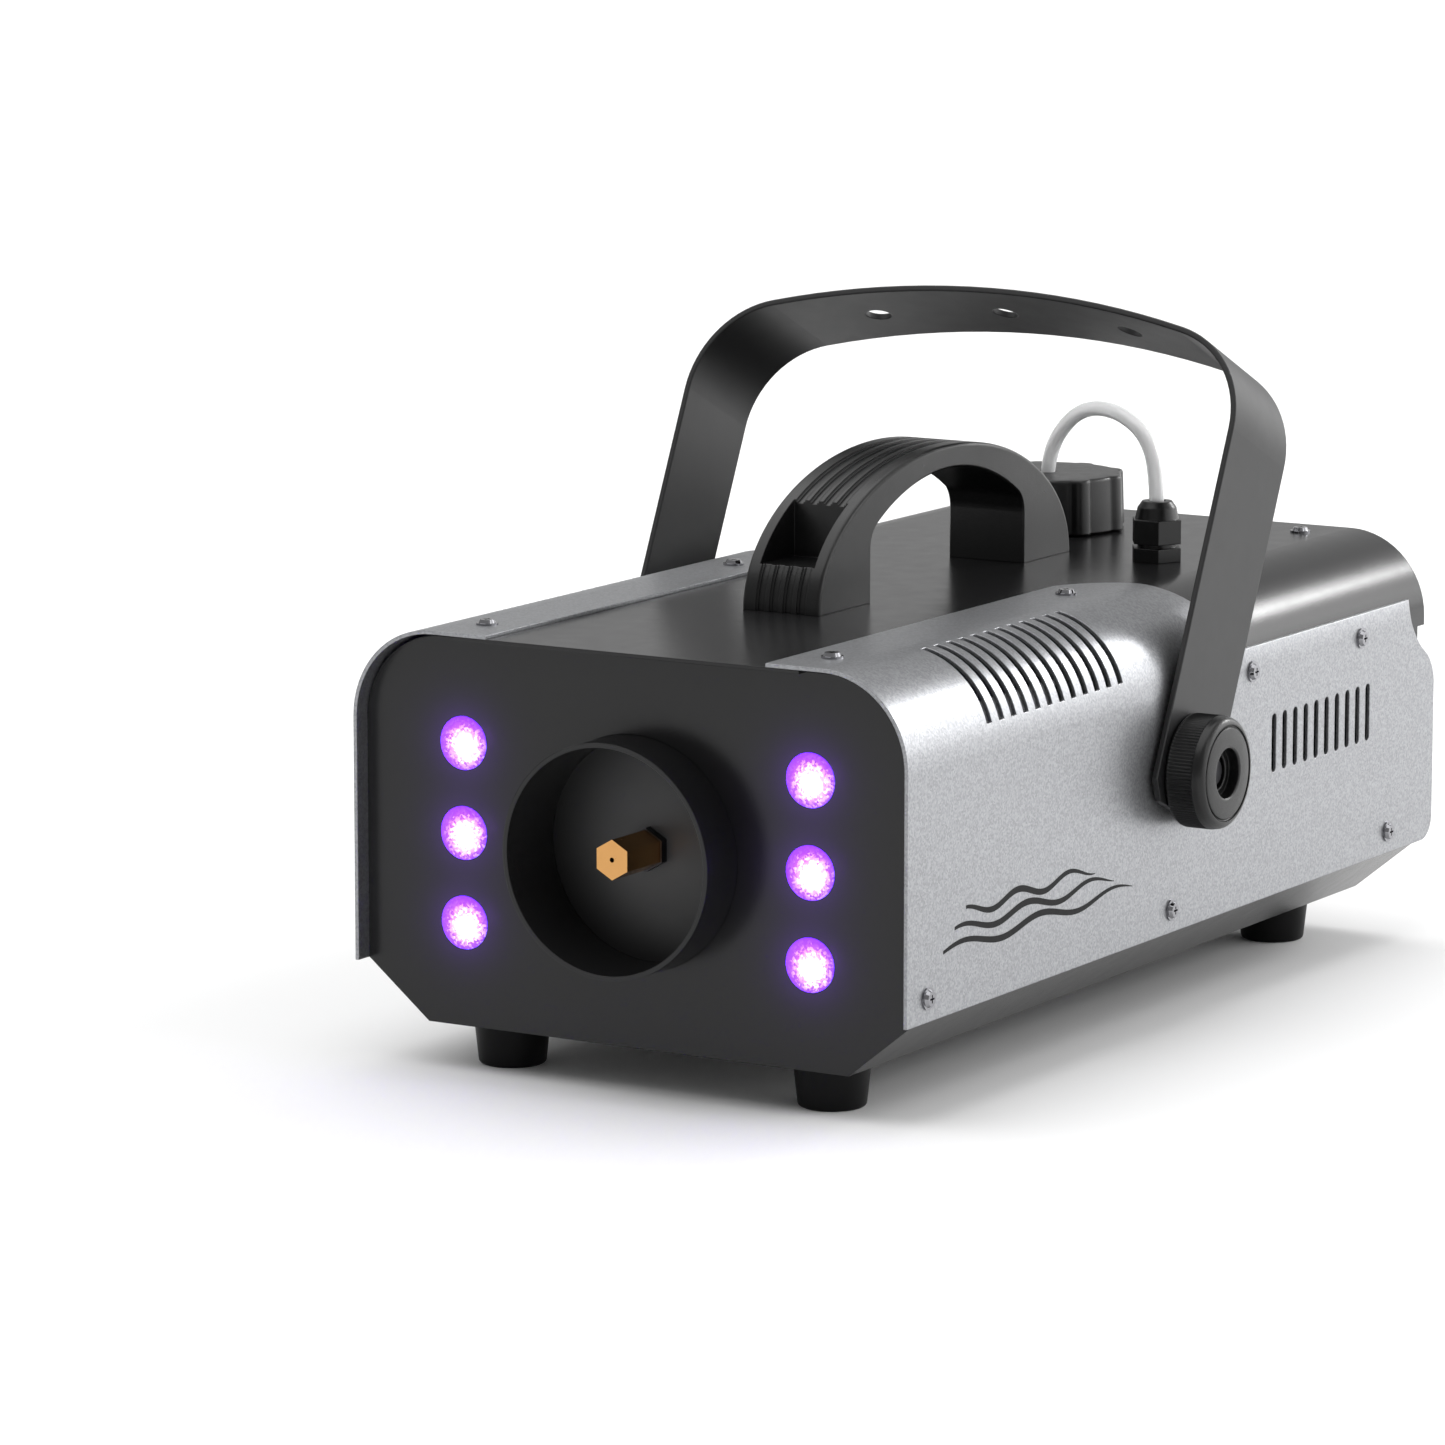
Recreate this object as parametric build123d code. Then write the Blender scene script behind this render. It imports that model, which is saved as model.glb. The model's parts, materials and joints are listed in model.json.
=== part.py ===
from build123d import *
import os
from math import sqrt, sin, cos, tan, radians, degrees

# ---------------------------------------------------------------- driving dimensions (mm)
W = 200.0            # width over the side covers
HALF = W / 2
T = 1.2              # sheet thickness
Y_LIP = -176.7       # front edge of the side covers and of the top cover
Y_PANEL = -170.7     # front face of the recessed front panel
Y_REAR = 178.3       # rear face of the rear panel
Y_TOP_END = 182.3    # rear edge of the top cover
Y_TAIL = 188.3       # rear lip of the side covers
Z_BOT = 15.0         # underside of the tray
Z_SIDE = 33.2        # lower edge of the side covers
Z_TOP = 140.6        # outer face of the cover flanges
CHAMFER = 22.5       # width of the tray's lower slope
R_SHOULDER = 29.5    # outer shoulder radius of the side covers
X_FLANGE = 50.4      # inner edge of the top flanges
COLLAR_R = 36.9
COLLAR_Z = 76.3
Y_RIM = -188.3
Y_BACKPLATE = -161.5
Y_NOZZLE = -183.7    # tip of the nozzle
NOZZLE_RING_L = 3.0
LED_X = 62.7
LED_ZS = (105.0, 76.5, 48.0)
LED_R = 8.6
PIVOT_Y = -0.7
PIVOT_Z = 86.0
LEAN = 25.2          # bracket leans back from vertical
STRAP_W = 41.0
STRAP_T = 2.0
STRAP_X = 101.5      # inner face of each bracket leg
STRAP_D = 151.0      # pivot to the top of the bracket bar
STRAP_DOME = 330.0
STRAP_CORNER = 34.0
HOLE_PITCH = 48.0
HOLE_R = 4.4
HANDLE_A = 83.5      # half length of the handle's elliptical back
HANDLE_B = 45.3      # its height
HANDLE_HW = 14.2
HANDLE_SCREW_Y = 67.0
FLUTE_XS = (-7.5, -2.5, 2.5, 7.5)
FLUTE_STEPS = ((0.6, 1.7), (1.1, 1.0))   # depth and half width: each flute narrows towards its bottom
CAP_X, CAP_Y = -20.1, 129.4
CAP_R = 28.0
CAP_LOBES = 9
CAP_TOP = 158.8
GLAND_X, GLAND_Y = 48.6, 80.0
GLAND_FLATS = 15.6
HOSE_R = 2.5
HOSE_BORE = 1.5
FOOT_XY = [(sx * 58.5, sy * 150.0) for sx in (-1, 1) for sy in (-1, 1)]
FLANGE_SCREW_X = 62.4
FLANGE_SCREW_YS = (-157.3, -8.7)
LOW_SCREWS = ((-164.2, 40.6), (-5.7, 40.6), (153.3, 40.6))
HIGH_SCREWS = ((49.9, 110.4), (130.7, 110.4))
REAR_TOP_SCREWS = ((-60.0, 164.3), (60.0, 164.3))
Z_IN = Z_TOP - T     # outer face of the black inner sheet, 139.4
SCREW_HOLE = 1.6     # tapped hole for a cover screw
SCREW_CLEAR = 1.7    # clearance hole for a cover screw
LED_STUD_ZS = (34.5, 118.5)
Y_LED_BOARD = Y_PANEL + 9.4
NOZZLE_BORE = 2.5
STEM_R = 4.0
KNOB_R = 18.4
KNOB_X0, KNOB_X1 = 103.8, 117.5
KNOB_GROOVES = 72
STUD_R = 4.0
RUNNING = 0.05       # radial clearance of every running fit
PUMP_X, PUMP_Z = 62.0, 46.0
PLUNGER_R = 5.0
HEATER_Y0, HEATER_Y1 = -118.0, 22.0
HEATER_Z = 77.0
HEATER_W, HEATER_H = 32.0, 22.0
TANK = (-72.0, 36.0, 80.0, 148.0, 58.0, 124.0)   # x0, x1, y0, y1, z0, z1
NECK_R = 16.9
SHOULDER_SLOTS = (12, -124.8, 7.73)   # count, first y, pitch
SIDE_SLOTS = (10, 66.3, 7.78)
REAR_ITEMS = dict(inlet=(-62.0, 48.0), fuse=(-62.0, 84.0), switch=(-22.0, 48.0),
                  button=(18.0, 48.0), socket=(58.0, 48.0))
BOARD_PILLARS = ((-72, -52, -66, 56), (52, 72, -86, -6))   # x0, x1, y0, y1 of each board's pillars
Z_BOARD = 36.0
BUTTON_R = 6.4
FUSE_R = 4.0


# ---------------------------------------------------------------- helpers
def ysec(sk, y0, y1):
    return extrude(Plane.XZ.offset(-y0) * sk, amount=y0 - y1)


def xsec(sk, x0, x1):
    return extrude(Plane.YZ.offset(x0) * sk, amount=x1 - x0)


def zsec(sk, z0, z1):
    return extrude(Plane.XY.offset(z0) * sk, amount=z1 - z0)


def box(x0, x1, y0, y1, z0, z1):
    c = Pos((x0 + x1) / 2, (y0 + y1) / 2, (z0 + z1) / 2)
    return c * Box(x1 - x0, y1 - y0, z1 - z0)


def ycyl(x, z, r, y0, y1):
    return ysec(Pos(x, z) * Circle(r), y0, y1)


def xcyl(y, z, r, x0, x1):
    return xsec(Pos(y, z) * Circle(r), x0, x1)


def zcyl(x, y, r, z0, z1):
    return zsec(Pos(x, y) * Circle(r), z0, z1)


def ytube(x, z, ro, ri, y0, y1):
    return ysec(Pos(x, z) * (Circle(ro) - Circle(ri)), y0, y1)


def ztube(x, y, ro, ri, z0, z1):
    return zsec(Pos(x, y) * (Circle(ro) - Circle(ri)), z0, z1)


def hexagon(flats, rot=0.0):
    return Rot(0, 0, rot) * RegularPolygon(flats / 2, 6, major_radius=False)


def pipe(points, fillet_r, ro, ri=0.0):
    path = FilletPolyline(*points, radius=fillet_r)
    start = Plane(origin=path @ 0, z_dir=path % 0)
    body = sweep(start * Circle(ro), path=path)
    if ri > 0:
        body = body - sweep(start * Circle(ri), path=path)
    return body


def mirror_x(part):
    return mirror(part, about=Plane.YZ)


def save(part, name):
    solids = part.solids()
    if len(solids) == 1:
        shape = solids[0]
    else:
        shape = Compound(children=list(solids))
    shape.label = name
    export_step(shape, f"parts/{name}.step")


def half_section(w, r, top, bottom, inner_x, t):
    """Closed sheet outline of one side: wall, shoulder, flange; thickness t inward."""
    cx = w - r
    cz = top - r
    a = Line((w, bottom), (w, cz))
    b = CenterArc((cx, cz), r, 0, 90)
    c = Line((cx, top), (inner_x, top))
    d = Line((inner_x, top), (inner_x, top - t))
    e = Line((inner_x, top - t), (cx, top - t))
    f = CenterArc((cx, cz), r - t, 0, 90)
    g = Line((w - t, cz), (w - t, bottom))
    h = Line((w - t, bottom), (w, bottom))
    return make_face(Curve() + [a, b, c, d, e, f, g, h])


def panel_outline(w, r, top, bottom, slope_w, slope_z):
    """Full section outline: bevelled bottom corners, rounded shoulders."""
    pts = [(w, top - r), (w, slope_z), (w - slope_w, bottom), (-w + slope_w, bottom)]
    pts += [(-w, slope_z), (-w, top - r)]
    lines = [Line(pts[i], pts[i + 1]) for i in range(len(pts) - 1)]
    lines.append(CenterArc((-w + r, top - r), r, 90, 90))
    lines.append(Line((-w + r, top), (w - r, top)))
    lines.append(CenterArc((w - r, top - r), r, 0, 90))
    return make_face(Curve() + lines)


# ---------------------------------------------------------------- shell
def chassis_tray():
    w = HALF - T
    pts = [(w, 62.0), (w, Z_SIDE), (w - CHAMFER, Z_BOT), (-w + CHAMFER, Z_BOT), (-w, Z_SIDE), (-w, 62.0)]
    k = T * 0.35
    inn = [(-w + T, 62.0), (-w + T, Z_SIDE + k), (-w + CHAMFER + k, Z_BOT + T)]
    inn += [(w - CHAMFER - k, Z_BOT + T), (w - T, Z_SIDE + k), (w - T, 62.0)]
    tray = ysec(make_face(Polyline(*pts, *inn, close=True)), Y_PANEL + T, Y_REAR - T)
    for x, y in FOOT_XY:
        tray -= zcyl(x, y, 2.2, Z_BOT - 1, Z_BOT + T + 1)
    for i in range(9):
        tray -= box(-14, 14, -60 + i * 11, -57 + i * 11, Z_BOT - 1, Z_BOT + T + 1)
    for y, z in LOW_SCREWS:
        tray -= xcyl(y, z, SCREW_HOLE, -HALF, HALF)
    return tray


def front_panel():
    top = Z_IN - T
    sk = panel_outline(HALF - T, R_SHOULDER - T, top, Z_BOT, CHAMFER, Z_SIDE)
    panel = ysec(sk, Y_PANEL, Y_PANEL + T)
    panel += box(-70, 70, Y_PANEL + T, Y_PANEL + 22, top - T, top)
    panel += box(-70, 70, Y_PANEL + T, Y_PANEL + 16, Z_BOT + T, Z_BOT + T + T)
    panel -= ycyl(0, COLLAR_Z, COLLAR_R, Y_PANEL - 1, Y_PANEL + T + 1)
    for sx in (-1, 1):
        for z in LED_ZS:
            panel -= ycyl(sx * LED_X, z, LED_R, Y_PANEL - 1, Y_PANEL + T + 1)
        panel -= zcyl(sx * FLANGE_SCREW_X, FLANGE_SCREW_YS[0], SCREW_HOLE, top - 5, top + 1)
    return panel


def rear_panel():
    top = Z_IN - T
    r = R_SHOULDER - 2 * T
    upper = panel_outline(HALF - 2 * T, r, top, Z_BOT + 20, 10, Z_SIDE + 20)
    lower = panel_outline(HALF - T, 1.0, 97.9, Z_BOT, CHAMFER, Z_SIDE)
    panel = ysec(upper, Y_REAR - T, Y_REAR) + ysec(lower, Y_REAR - T, Y_REAR)
    panel += box(-70, 70, Y_REAR - 22, Y_REAR - T, top - T, top)
    x, z = REAR_ITEMS["inlet"]
    panel -= box(x - 13.5, x + 13.5, Y_REAR - 3, Y_REAR + 1, z - 10, z + 10)
    for sx in (-20, 20):
        panel -= ycyl(x + sx, z, SCREW_CLEAR, Y_REAR - 3, Y_REAR + 1)
    x, z = REAR_ITEMS["fuse"]
    panel -= ycyl(x, z, 6.2, Y_REAR - 3, Y_REAR + 1)
    x, z = REAR_ITEMS["switch"]
    panel -= box(x - 9.5, x + 9.5, Y_REAR - 3, Y_REAR + 1, z - 6.5, z + 6.5)
    x, z = REAR_ITEMS["button"]
    panel -= ycyl(x, z, 8.0, Y_REAR - 3, Y_REAR + 1)
    x, z = REAR_ITEMS["socket"]
    panel -= ycyl(x, z, 7.6, Y_REAR - 3, Y_REAR + 1)
    for i in range(13):
        x = -12 + i * 6.5
        panel -= ysec(Pos(x, 98) * Rot(0, 0, 90) * SlotOverall(28, 2.8), Y_REAR - 3, Y_REAR + 1)
    for x, y in REAR_TOP_SCREWS:
        panel -= zcyl(x, y, SCREW_HOLE, top - 5, top + 1)
    return panel


def cover_profile():
    return half_section(HALF, R_SHOULDER, Z_TOP, Z_SIDE, X_FLANGE, T)


def side_cover():
    cover = ysec(cover_profile(), Y_LIP, Y_TAIL)
    # the flange and shoulder stop at an S-shaped edge that sweeps outward and down the side
    wave = [(48.0, -2.0), (51.5, 7.0), (57.0, 15.5), (66.0, 22.3), (77.7, 25.0), (86.0, 28.6)]
    wave += [(92.0, 32.5), (96.5, 37.5), (99.2, 45.0), (101.0, 54.0)]
    edge = Spline(*wave)
    far = Polyline((101.0, 54.0), (101.0, 200.0), (48.0, 200.0), (48.0, -2.0))
    cover -= zsec(make_face(Curve() + [edge, far]), 118.3, Z_TOP + 1)
    # the tail edge steps back in a second S below the top corner
    tail = [(169.3, 119.0), (169.3, 112.0), (173.3, 105.6), (178.0, 101.0), (183.3, 97.3)]
    tail += [(187.0, 92.5), (188.3, 86.0)]
    t_edge = Spline(*tail)
    t_far = Polyline((188.3, 86.0), (190.0, 86.0), (190.0, 119.0), (169.3, 119.0))
    cover -= xsec(make_face(Curve() + [t_edge, t_far]), 90, 102)
    corner = box(90, 102, Y_TAIL - 8, Y_TAIL + 1, Z_SIDE - 1, Z_SIDE + 8)
    cover -= corner - xcyl(Y_TAIL - 8, Z_SIDE + 8, 8, 89, 103)
    count, first, pitch = SHOULDER_SLOTS
    for i in range(count):
        y = first + pitch * i
        cover -= box(75.6, 102, y - 1.65, y + 1.65, 119.0, Z_TOP + 1)
    count, first, pitch = SIDE_SLOTS
    for i in range(count):
        y = first + pitch * i
        cover -= xsec(Pos(y, 84.3) * Rot(0, 0, 90) * SlotOverall(19.6, 3.4), 90, 102)
    for y in FLANGE_SCREW_YS:
        cover -= zcyl(FLANGE_SCREW_X, y, SCREW_CLEAR, Z_TOP - 3, Z_TOP + 1)
    for y, z in LOW_SCREWS + HIGH_SCREWS:
        cover -= xcyl(y, z, SCREW_CLEAR, 95, 102)
    cover -= xcyl(PIVOT_Y, PIVOT_Z, 4.2, 95, 102)
    return cover


def top_cover():
    w = HALF - T
    plate = box(-70.5, 70.5, Y_PANEL, Y_TOP_END, Z_IN - T, Z_IN)
    plate += box(-62, 62, Y_LIP, Y_PANEL, Z_IN - T, Z_IN)
    wing = ysec(half_section(w, R_SHOULDER - T, Z_IN, 98.0, 60.0, T), 12.0, Y_TOP_END)
    # the wing's lower rear corner is cut back above the tail of the side cover
    wing -= box(80, 100, Y_REAR - T, Y_TOP_END + 1, 90, 108)
    plate += wing
    plate += mirror_x(wing)
    plate -= zcyl(CAP_X, CAP_Y, 18.0, Z_IN - 3, Z_IN + 1)
    plate -= zcyl(GLAND_X, GLAND_Y, 6.1, Z_IN - 3, Z_IN + 1)
    for sx in (-1, 1):
        for y in FLANGE_SCREW_YS:
            plate -= zcyl(sx * FLANGE_SCREW_X, y, SCREW_HOLE, Z_IN - 3, Z_IN + 1)
        for y, z in HIGH_SCREWS:
            plate -= xcyl(y, z, SCREW_HOLE, sx * 97.0 - 3, sx * 97.0 + 3)
        plate -= zcyl(0, sx * HANDLE_SCREW_Y, 2.2, Z_IN - 3, Z_IN + 1)
    for x, y in REAR_TOP_SCREWS:
        plate -= zcyl(x, y, SCREW_HOLE, Z_IN - 3, Z_IN + 1)
    return plate


def pan_screw():
    """Washer-head pan screw, head seat at z = 0, shank down."""
    head = Pos(0, 0, 0.3) * Cylinder(3.5, 0.6)
    dome = Pos(0, 0, 0.6) * extrude(Circle(2.75), amount=1.1, taper=22)
    shank = Pos(0, 0, -3.0) * Cylinder(1.5, 6.0)
    cross = Pos(0, 0, 1.35) * (Box(2.6, 0.6, 0.9) + Box(0.6, 2.6, 0.9))
    return head + dome + shank - cross


def cover_screws():
    s = pan_screw()
    out = []
    for sx in (-1, 1):
        for y in FLANGE_SCREW_YS:
            out.append(Pos(sx * FLANGE_SCREW_X, y, Z_TOP) * s)
        for y, z in LOW_SCREWS + HIGH_SCREWS:
            out.append(Pos(sx * HALF, y, z) * Rot(0, sx * 90, 0) * s)
    for x, y in REAR_TOP_SCREWS:
        out.append(Pos(x, y, Z_IN) * s)
    x, z = REAR_ITEMS["inlet"]
    for sx in (-20, 20):
        out.append(Pos(x + sx, Y_REAR + 2.5, z) * Rot(-90, 0, 0) * s)
    return Compound(children=out)


def feet():
    out = []
    for x, y in FOOT_XY:
        foot = Pos(x, y, Z_BOT) * Rot(180, 0, 0) * extrude(Circle(12.3), amount=Z_BOT, taper=5.6)
        foot -= zcyl(x, y, 4.6, -1, 6.0)
        foot -= zcyl(x, y, 2.15, -1, Z_BOT + 1)
        out.append(foot)
    return Compound(children=out)


def foot_screws():
    out = []
    for x, y in FOOT_XY:
        out.append(zcyl(x, y, 4.0, 3.6, 6.0) + zcyl(x, y, 2.0, 6.0, 22.0))
    return Compound(children=out)


# ---------------------------------------------------------------- front group
def collar_tube():
    tube = ytube(0, COLLAR_Z, COLLAR_R, COLLAR_R - 1.5, Y_RIM, Y_BACKPLATE)
    tube += ytube(0, COLLAR_Z, COLLAR_R + 5, COLLAR_R, Y_PANEL + T, Y_PANEL + T + 1.2)
    return tube


def collar_back_plate():
    hole = ycyl(0, COLLAR_Z, STEM_R + 0.3, Y_BACKPLATE - 1, Y_BACKPLATE + T + 1)
    return ycyl(0, COLLAR_Z, COLLAR_R, Y_BACKPLATE, Y_BACKPLATE + T) - hole


def nozzle_hex():
    y_end = Y_BACKPLATE - NOZZLE_RING_L
    body = ysec(Pos(0, COLLAR_Z) * hexagon(11.0, 30), Y_NOZZLE, y_end)
    body -= ycyl(0, COLLAR_Z, 0.8, Y_NOZZLE - 1, y_end)
    body -= ycyl(0, COLLAR_Z, NOZZLE_BORE, Y_NOZZLE + 3.2, y_end + 1)
    return body


def nozzle_ring():
    y0 = Y_BACKPLATE - NOZZLE_RING_L
    return ysec(Pos(0, COLLAR_Z) * hexagon(12.0, 30), y0, Y_BACKPLATE) - ycyl(0, COLLAR_Z, STEM_R, y0 - 1, -160)


def nozzle_stem():
    stem = ytube(0, COLLAR_Z, STEM_R, NOZZLE_BORE, Y_BACKPLATE - NOZZLE_RING_L, HEATER_Y0)
    stem += ytube(0, COLLAR_Z, STEM_R + 1.0, NOZZLE_BORE, -143.0, -124.6)
    return stem


def led_lenses():
    out = []
    for sx in (-1, 1):
        for z in LED_ZS:
            lens = ycyl(sx * LED_X, z, LED_R - 0.1, Y_PANEL - 0.8, Y_PANEL + 3.0)
            lens += ycyl(sx * LED_X, z, LED_R + 1.4, Y_PANEL + T, Y_PANEL + 3.0)
            lens += ysec(Pos(sx * LED_X, z) * Circle(6.0), Y_PANEL + 3.0, Y_PANEL + 8.0)
            out.append(lens)
    return Compound(children=out)


def led_boards():
    out = []
    y = Y_LED_BOARD
    for sx in (-1, 1):
        b = box(sx * LED_X - 11, sx * LED_X + 11, y, y + 1.6, 30, 123)
        for z in LED_STUD_ZS:
            b -= ycyl(sx * LED_X, z, 1.6, y - 1, y + 3)
        for z in LED_ZS:
            b += ycyl(sx * LED_X, z, 4.0, y - 1.4, y)
        out.append(b)
    return Compound(children=out)


def led_heat_sinks():
    out = []
    y = Y_LED_BOARD + 1.6
    for sx in (-1, 1):
        s = box(sx * LED_X - 12, sx * LED_X + 12, y, y + 3, 29, 124)
        for i in range(6):
            x = sx * LED_X - 11 + i * 4.1
            s += box(x, x + 1.4, y + 3, y + 15, 29, 124)
        out.append(s)
    return Compound(children=out)


# ---------------------------------------------------------------- heater
def heater_block():
    block = box(-HEATER_W, HEATER_W, HEATER_Y0, HEATER_Y1, HEATER_Z - HEATER_H, HEATER_Z + HEATER_H)
    block -= ycyl(0, COLLAR_Z, NOZZLE_BORE, HEATER_Y0 - 1, HEATER_Y0 + 30)
    for x in (-18, 18):
        block -= ycyl(x, HEATER_Z - 6, 4.1, HEATER_Y0 + 10, HEATER_Y1 + 1)
    # brazed inlet stub
    block += ycyl(0, HEATER_Z + 10, 3.0, HEATER_Y1, HEATER_Y1 + 16)
    block -= ycyl(0, HEATER_Z + 10, 2.0, HEATER_Y1 - 20, HEATER_Y1 + 17)
    return block


def heater_elements():
    out = []
    for x in (-18, 18):
        e = ycyl(x, HEATER_Z - 6, 4.1, HEATER_Y0 + 10, HEATER_Y1 + 12)
        e += ycyl(x, HEATER_Z - 6, 1.5, HEATER_Y1 + 12, HEATER_Y1 + 20)
        out.append(e)
    return Compound(children=out)


def heater_insulation():
    ins = box(-38, 38, HEATER_Y0 - 6, HEATER_Y1 + 6, HEATER_Z - 28, HEATER_Z + 28)
    ins -= box(-HEATER_W, HEATER_W, HEATER_Y0, HEATER_Y1, HEATER_Z - HEATER_H, HEATER_Z + HEATER_H)
    ins -= ycyl(0, COLLAR_Z, 4.1, HEATER_Y0 - 7, HEATER_Y0 + 1)
    ins -= ycyl(0, HEATER_Z + 10, 3.1, HEATER_Y1 - 1, HEATER_Y1 + 7)
    for x in (-18, 18):
        ins -= ycyl(x, HEATER_Z - 6, 4.2, HEATER_Y1 - 1, HEATER_Y1 + 7)
    ins -= box(-15, 15, -62, -14, HEATER_Z + 21, HEATER_Z + 29)
    return ins


def heater_jacket():
    t = 0.8
    j = box(-38 - t, 38 + t, HEATER_Y0 - 6, HEATER_Y1 + 6, HEATER_Z - 28 - t, HEATER_Z + 28 + t)
    j -= box(-38, 38, HEATER_Y0 - 7, HEATER_Y1 + 7, HEATER_Z - 28, HEATER_Z + 28)
    j -= box(-16, 16, -63, -13, HEATER_Z + 27, HEATER_Z + 30)
    return j


def inner_supports():
    """Heater brackets, the pillars under both boards and the studs behind the lamp boards."""
    out = []
    for y in (-96.0, 0.0):
        s = box(-30, 30, y - 9, y + 9, HEATER_Z - 30.0, HEATER_Z - 28.8)
        for sx in (-1, 1):
            x = sx * 29.4
            s += box(x - 0.6, x + 0.6, y - 9, y + 9, Z_BOT + T, HEATER_Z - 28.8)
            s += box(min(x, x + sx * 12), max(x, x + sx * 12), y - 9, y + 9, Z_BOT + T, Z_BOT + 2 * T)
        out.append(s)
    for x0, x1, y0, y1 in BOARD_PILLARS:
        for x in (x0, x1):
            for y in (y0, y1):
                out.append(zcyl(x, y, 3.0, Z_BOT + T, Z_BOARD) + zcyl(x, y, 1.5, Z_BOARD, Z_BOARD + 3.6))
    for x in (-LED_X, LED_X):
        for z in LED_STUD_ZS:
            stud = ycyl(x, z, 3.0, Y_PANEL + T, Y_LED_BOARD)
            out.append(stud + ycyl(x, z, 1.5, Y_LED_BOARD, Y_LED_BOARD + 1.6))
    return Compound(children=out)


def thermostat():
    t = zcyl(0, -26, 8.0, HEATER_Z + 22, HEATER_Z + 31) + box(-12, 12, -29, -23, HEATER_Z + 22, HEATER_Z + 23.5)
    for sx in (-1, 1):
        t += box(sx * 4 - 0.4, sx * 4 + 0.4, -28.5, -23.5, HEATER_Z + 31, HEATER_Z + 38)
    return t


def thermal_fuse():
    f = ysec(Pos(0, HEATER_Z + 24.5) * Circle(2.5), -58, -42)
    f += ycyl(0, HEATER_Z + 24.5, 0.6, -61, -39)
    return f


# ---------------------------------------------------------------- pump and fluid
def pump_body():
    body = ytube(PUMP_X, PUMP_Z, 16.0, PLUNGER_R + RUNNING, 50.0, 98.0)
    body += ycyl(PUMP_X, PUMP_Z, 9.0, 98.0, 104.0) + ytube(PUMP_X, PUMP_Z, 3.0, 1.5, 104.0, 112.0)
    body += ycyl(PUMP_X, PUMP_Z, 9.0, 44.0, 50.0) + ytube(PUMP_X, PUMP_Z, 3.0, 1.5, 36.0, 44.0)
    body -= ycyl(PUMP_X, PUMP_Z, 1.5, 35.0, 113.0)
    return body


def pump_frame():
    f = box(PUMP_X - 18, PUMP_X + 18, 48.4, 50.0, 26.0, PUMP_Z + 18)
    f += box(PUMP_X - 18, PUMP_X + 18, 98.0, 99.6, 26.0, PUMP_Z + 18)
    f += box(PUMP_X - 18, PUMP_X + 18, 48.4, 99.6, 24.4, 26.0)
    f -= ycyl(PUMP_X, PUMP_Z, 9.0, 40, 110)
    return f


def pump_plunger():
    return ycyl(PUMP_X, PUMP_Z, PLUNGER_R, 62.0, 86.0) - ycyl(PUMP_X, PUMP_Z, 1.5, 60, 90)


def pump_mounts():
    out = []
    for y in (56.0, 92.0):
        for x in (PUMP_X - 12, PUMP_X + 8):
            out.append(zcyl(x, y, 4.5, Z_BOT + T, 24.4))
    return Compound(children=out)


def tank():
    x0, x1, y0, y1, z0, z1 = TANK
    outer = box(x0, x1, y0, y1, z0, z1)
    outer = fillet(outer.edges(), 5.0)
    outer += zcyl(CAP_X, CAP_Y, NECK_R, z1 - 4, 152.0)
    inner = box(x0 + 2, x1 - 2, y0 + 2, y1 - 2, z0 + 2, z1 - 2)
    inner = fillet(inner.edges(), 3.0)
    inner += zcyl(CAP_X, CAP_Y, 14.6, z1 - 6, 153.0)
    return outer - inner


def tank_cradle():
    x0, x1, y0, y1, z0, z1 = TANK
    c = box(x0 + 6, x1 - 6, y0 - T, y1 + T, z0 - T, z0)
    for y in (y0 + 6, y1 - 6 - T):
        c += box(x0 + 6, x1 - 6, y, y + T, Z_BOT + T, z0)
    c += box(x0 + 6, x1 - 6, y0 - 6, y0 + 6, Z_BOT + T, Z_BOT + 2 * T)
    c -= box(x0 + 22, x1 - 22, y0 + 16, y1 - 16, z0 - 5, z0 + 1)
    return c


def tank_strap():
    x0, x1, y0, y1, z0, z1 = TANK
    a, b = x0 + 10, x0 + 26
    s = box(a, b, y0 - T, y1 + T, z1, z1 + T)
    for y in (y0 - T, y1):
        s += box(a, b, y, y + T, z0, z1 + T)
    return s


def tank_cap():
    body = zcyl(CAP_X, CAP_Y, CAP_R, Z_IN + 0.4, CAP_TOP)
    scoop_r, reach = 14.0, CAP_R + 11.6
    for i in range(CAP_LOBES):
        a = radians(360.0 / CAP_LOBES * (i + 0.5) + 6.0)
        body -= zcyl(CAP_X + reach * cos(a), CAP_Y + reach * sin(a), scoop_r, Z_IN - 1, CAP_TOP + 1)
    rim = body.edges().group_by(Axis.Z)[-1]
    body = chamfer(rim, 0.5)
    body -= zcyl(CAP_X, CAP_Y, NECK_R + RUNNING, Z_IN - 1, 155.2)
    body -= zcyl(CAP_X, CAP_Y, HOSE_R + 0.9, 150, CAP_TOP + 1)
    body -= zcyl(CAP_X + 5.6, CAP_Y - 0.5, 0.8, 150, CAP_TOP + 1)
    return body


def cap_seal():
    return ztube(CAP_X, CAP_Y, 16.5, 12.0, 153.4, 155.2)


def hose_points():
    """Route of the clear hose: up out of the gland, over in one arch, down through the cap."""
    dx, dy = CAP_X - GLAND_X, CAP_Y - GLAND_Y
    run = sqrt(dx * dx + dy * dy)
    flat = [(0.0, 150.0), (0.0, 167.0), (8.0, 180.5), (31.0, 186.2), (57.0, 184.0), (77.0, 172.5)]
    flat += [(run, 159.5), (run, 148.0)]
    return [(GLAND_X + dx * s / run, GLAND_Y + dy * s / run, z) for s, z in flat]


def cord_radii(points):
    """Largest arc at each corner: 0.45 of the shorter run over the tangent of half the turn."""
    v = [Vector(*p) for p in points]
    radii = []
    for p, q, r in zip(v, v[1:], v[2:]):
        turn = (q - p).get_angle(r - q)
        radii.append(0.45 * min((q - p).length, (r - q).length) / tan(radians(turn / 2)))
    return radii


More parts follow.
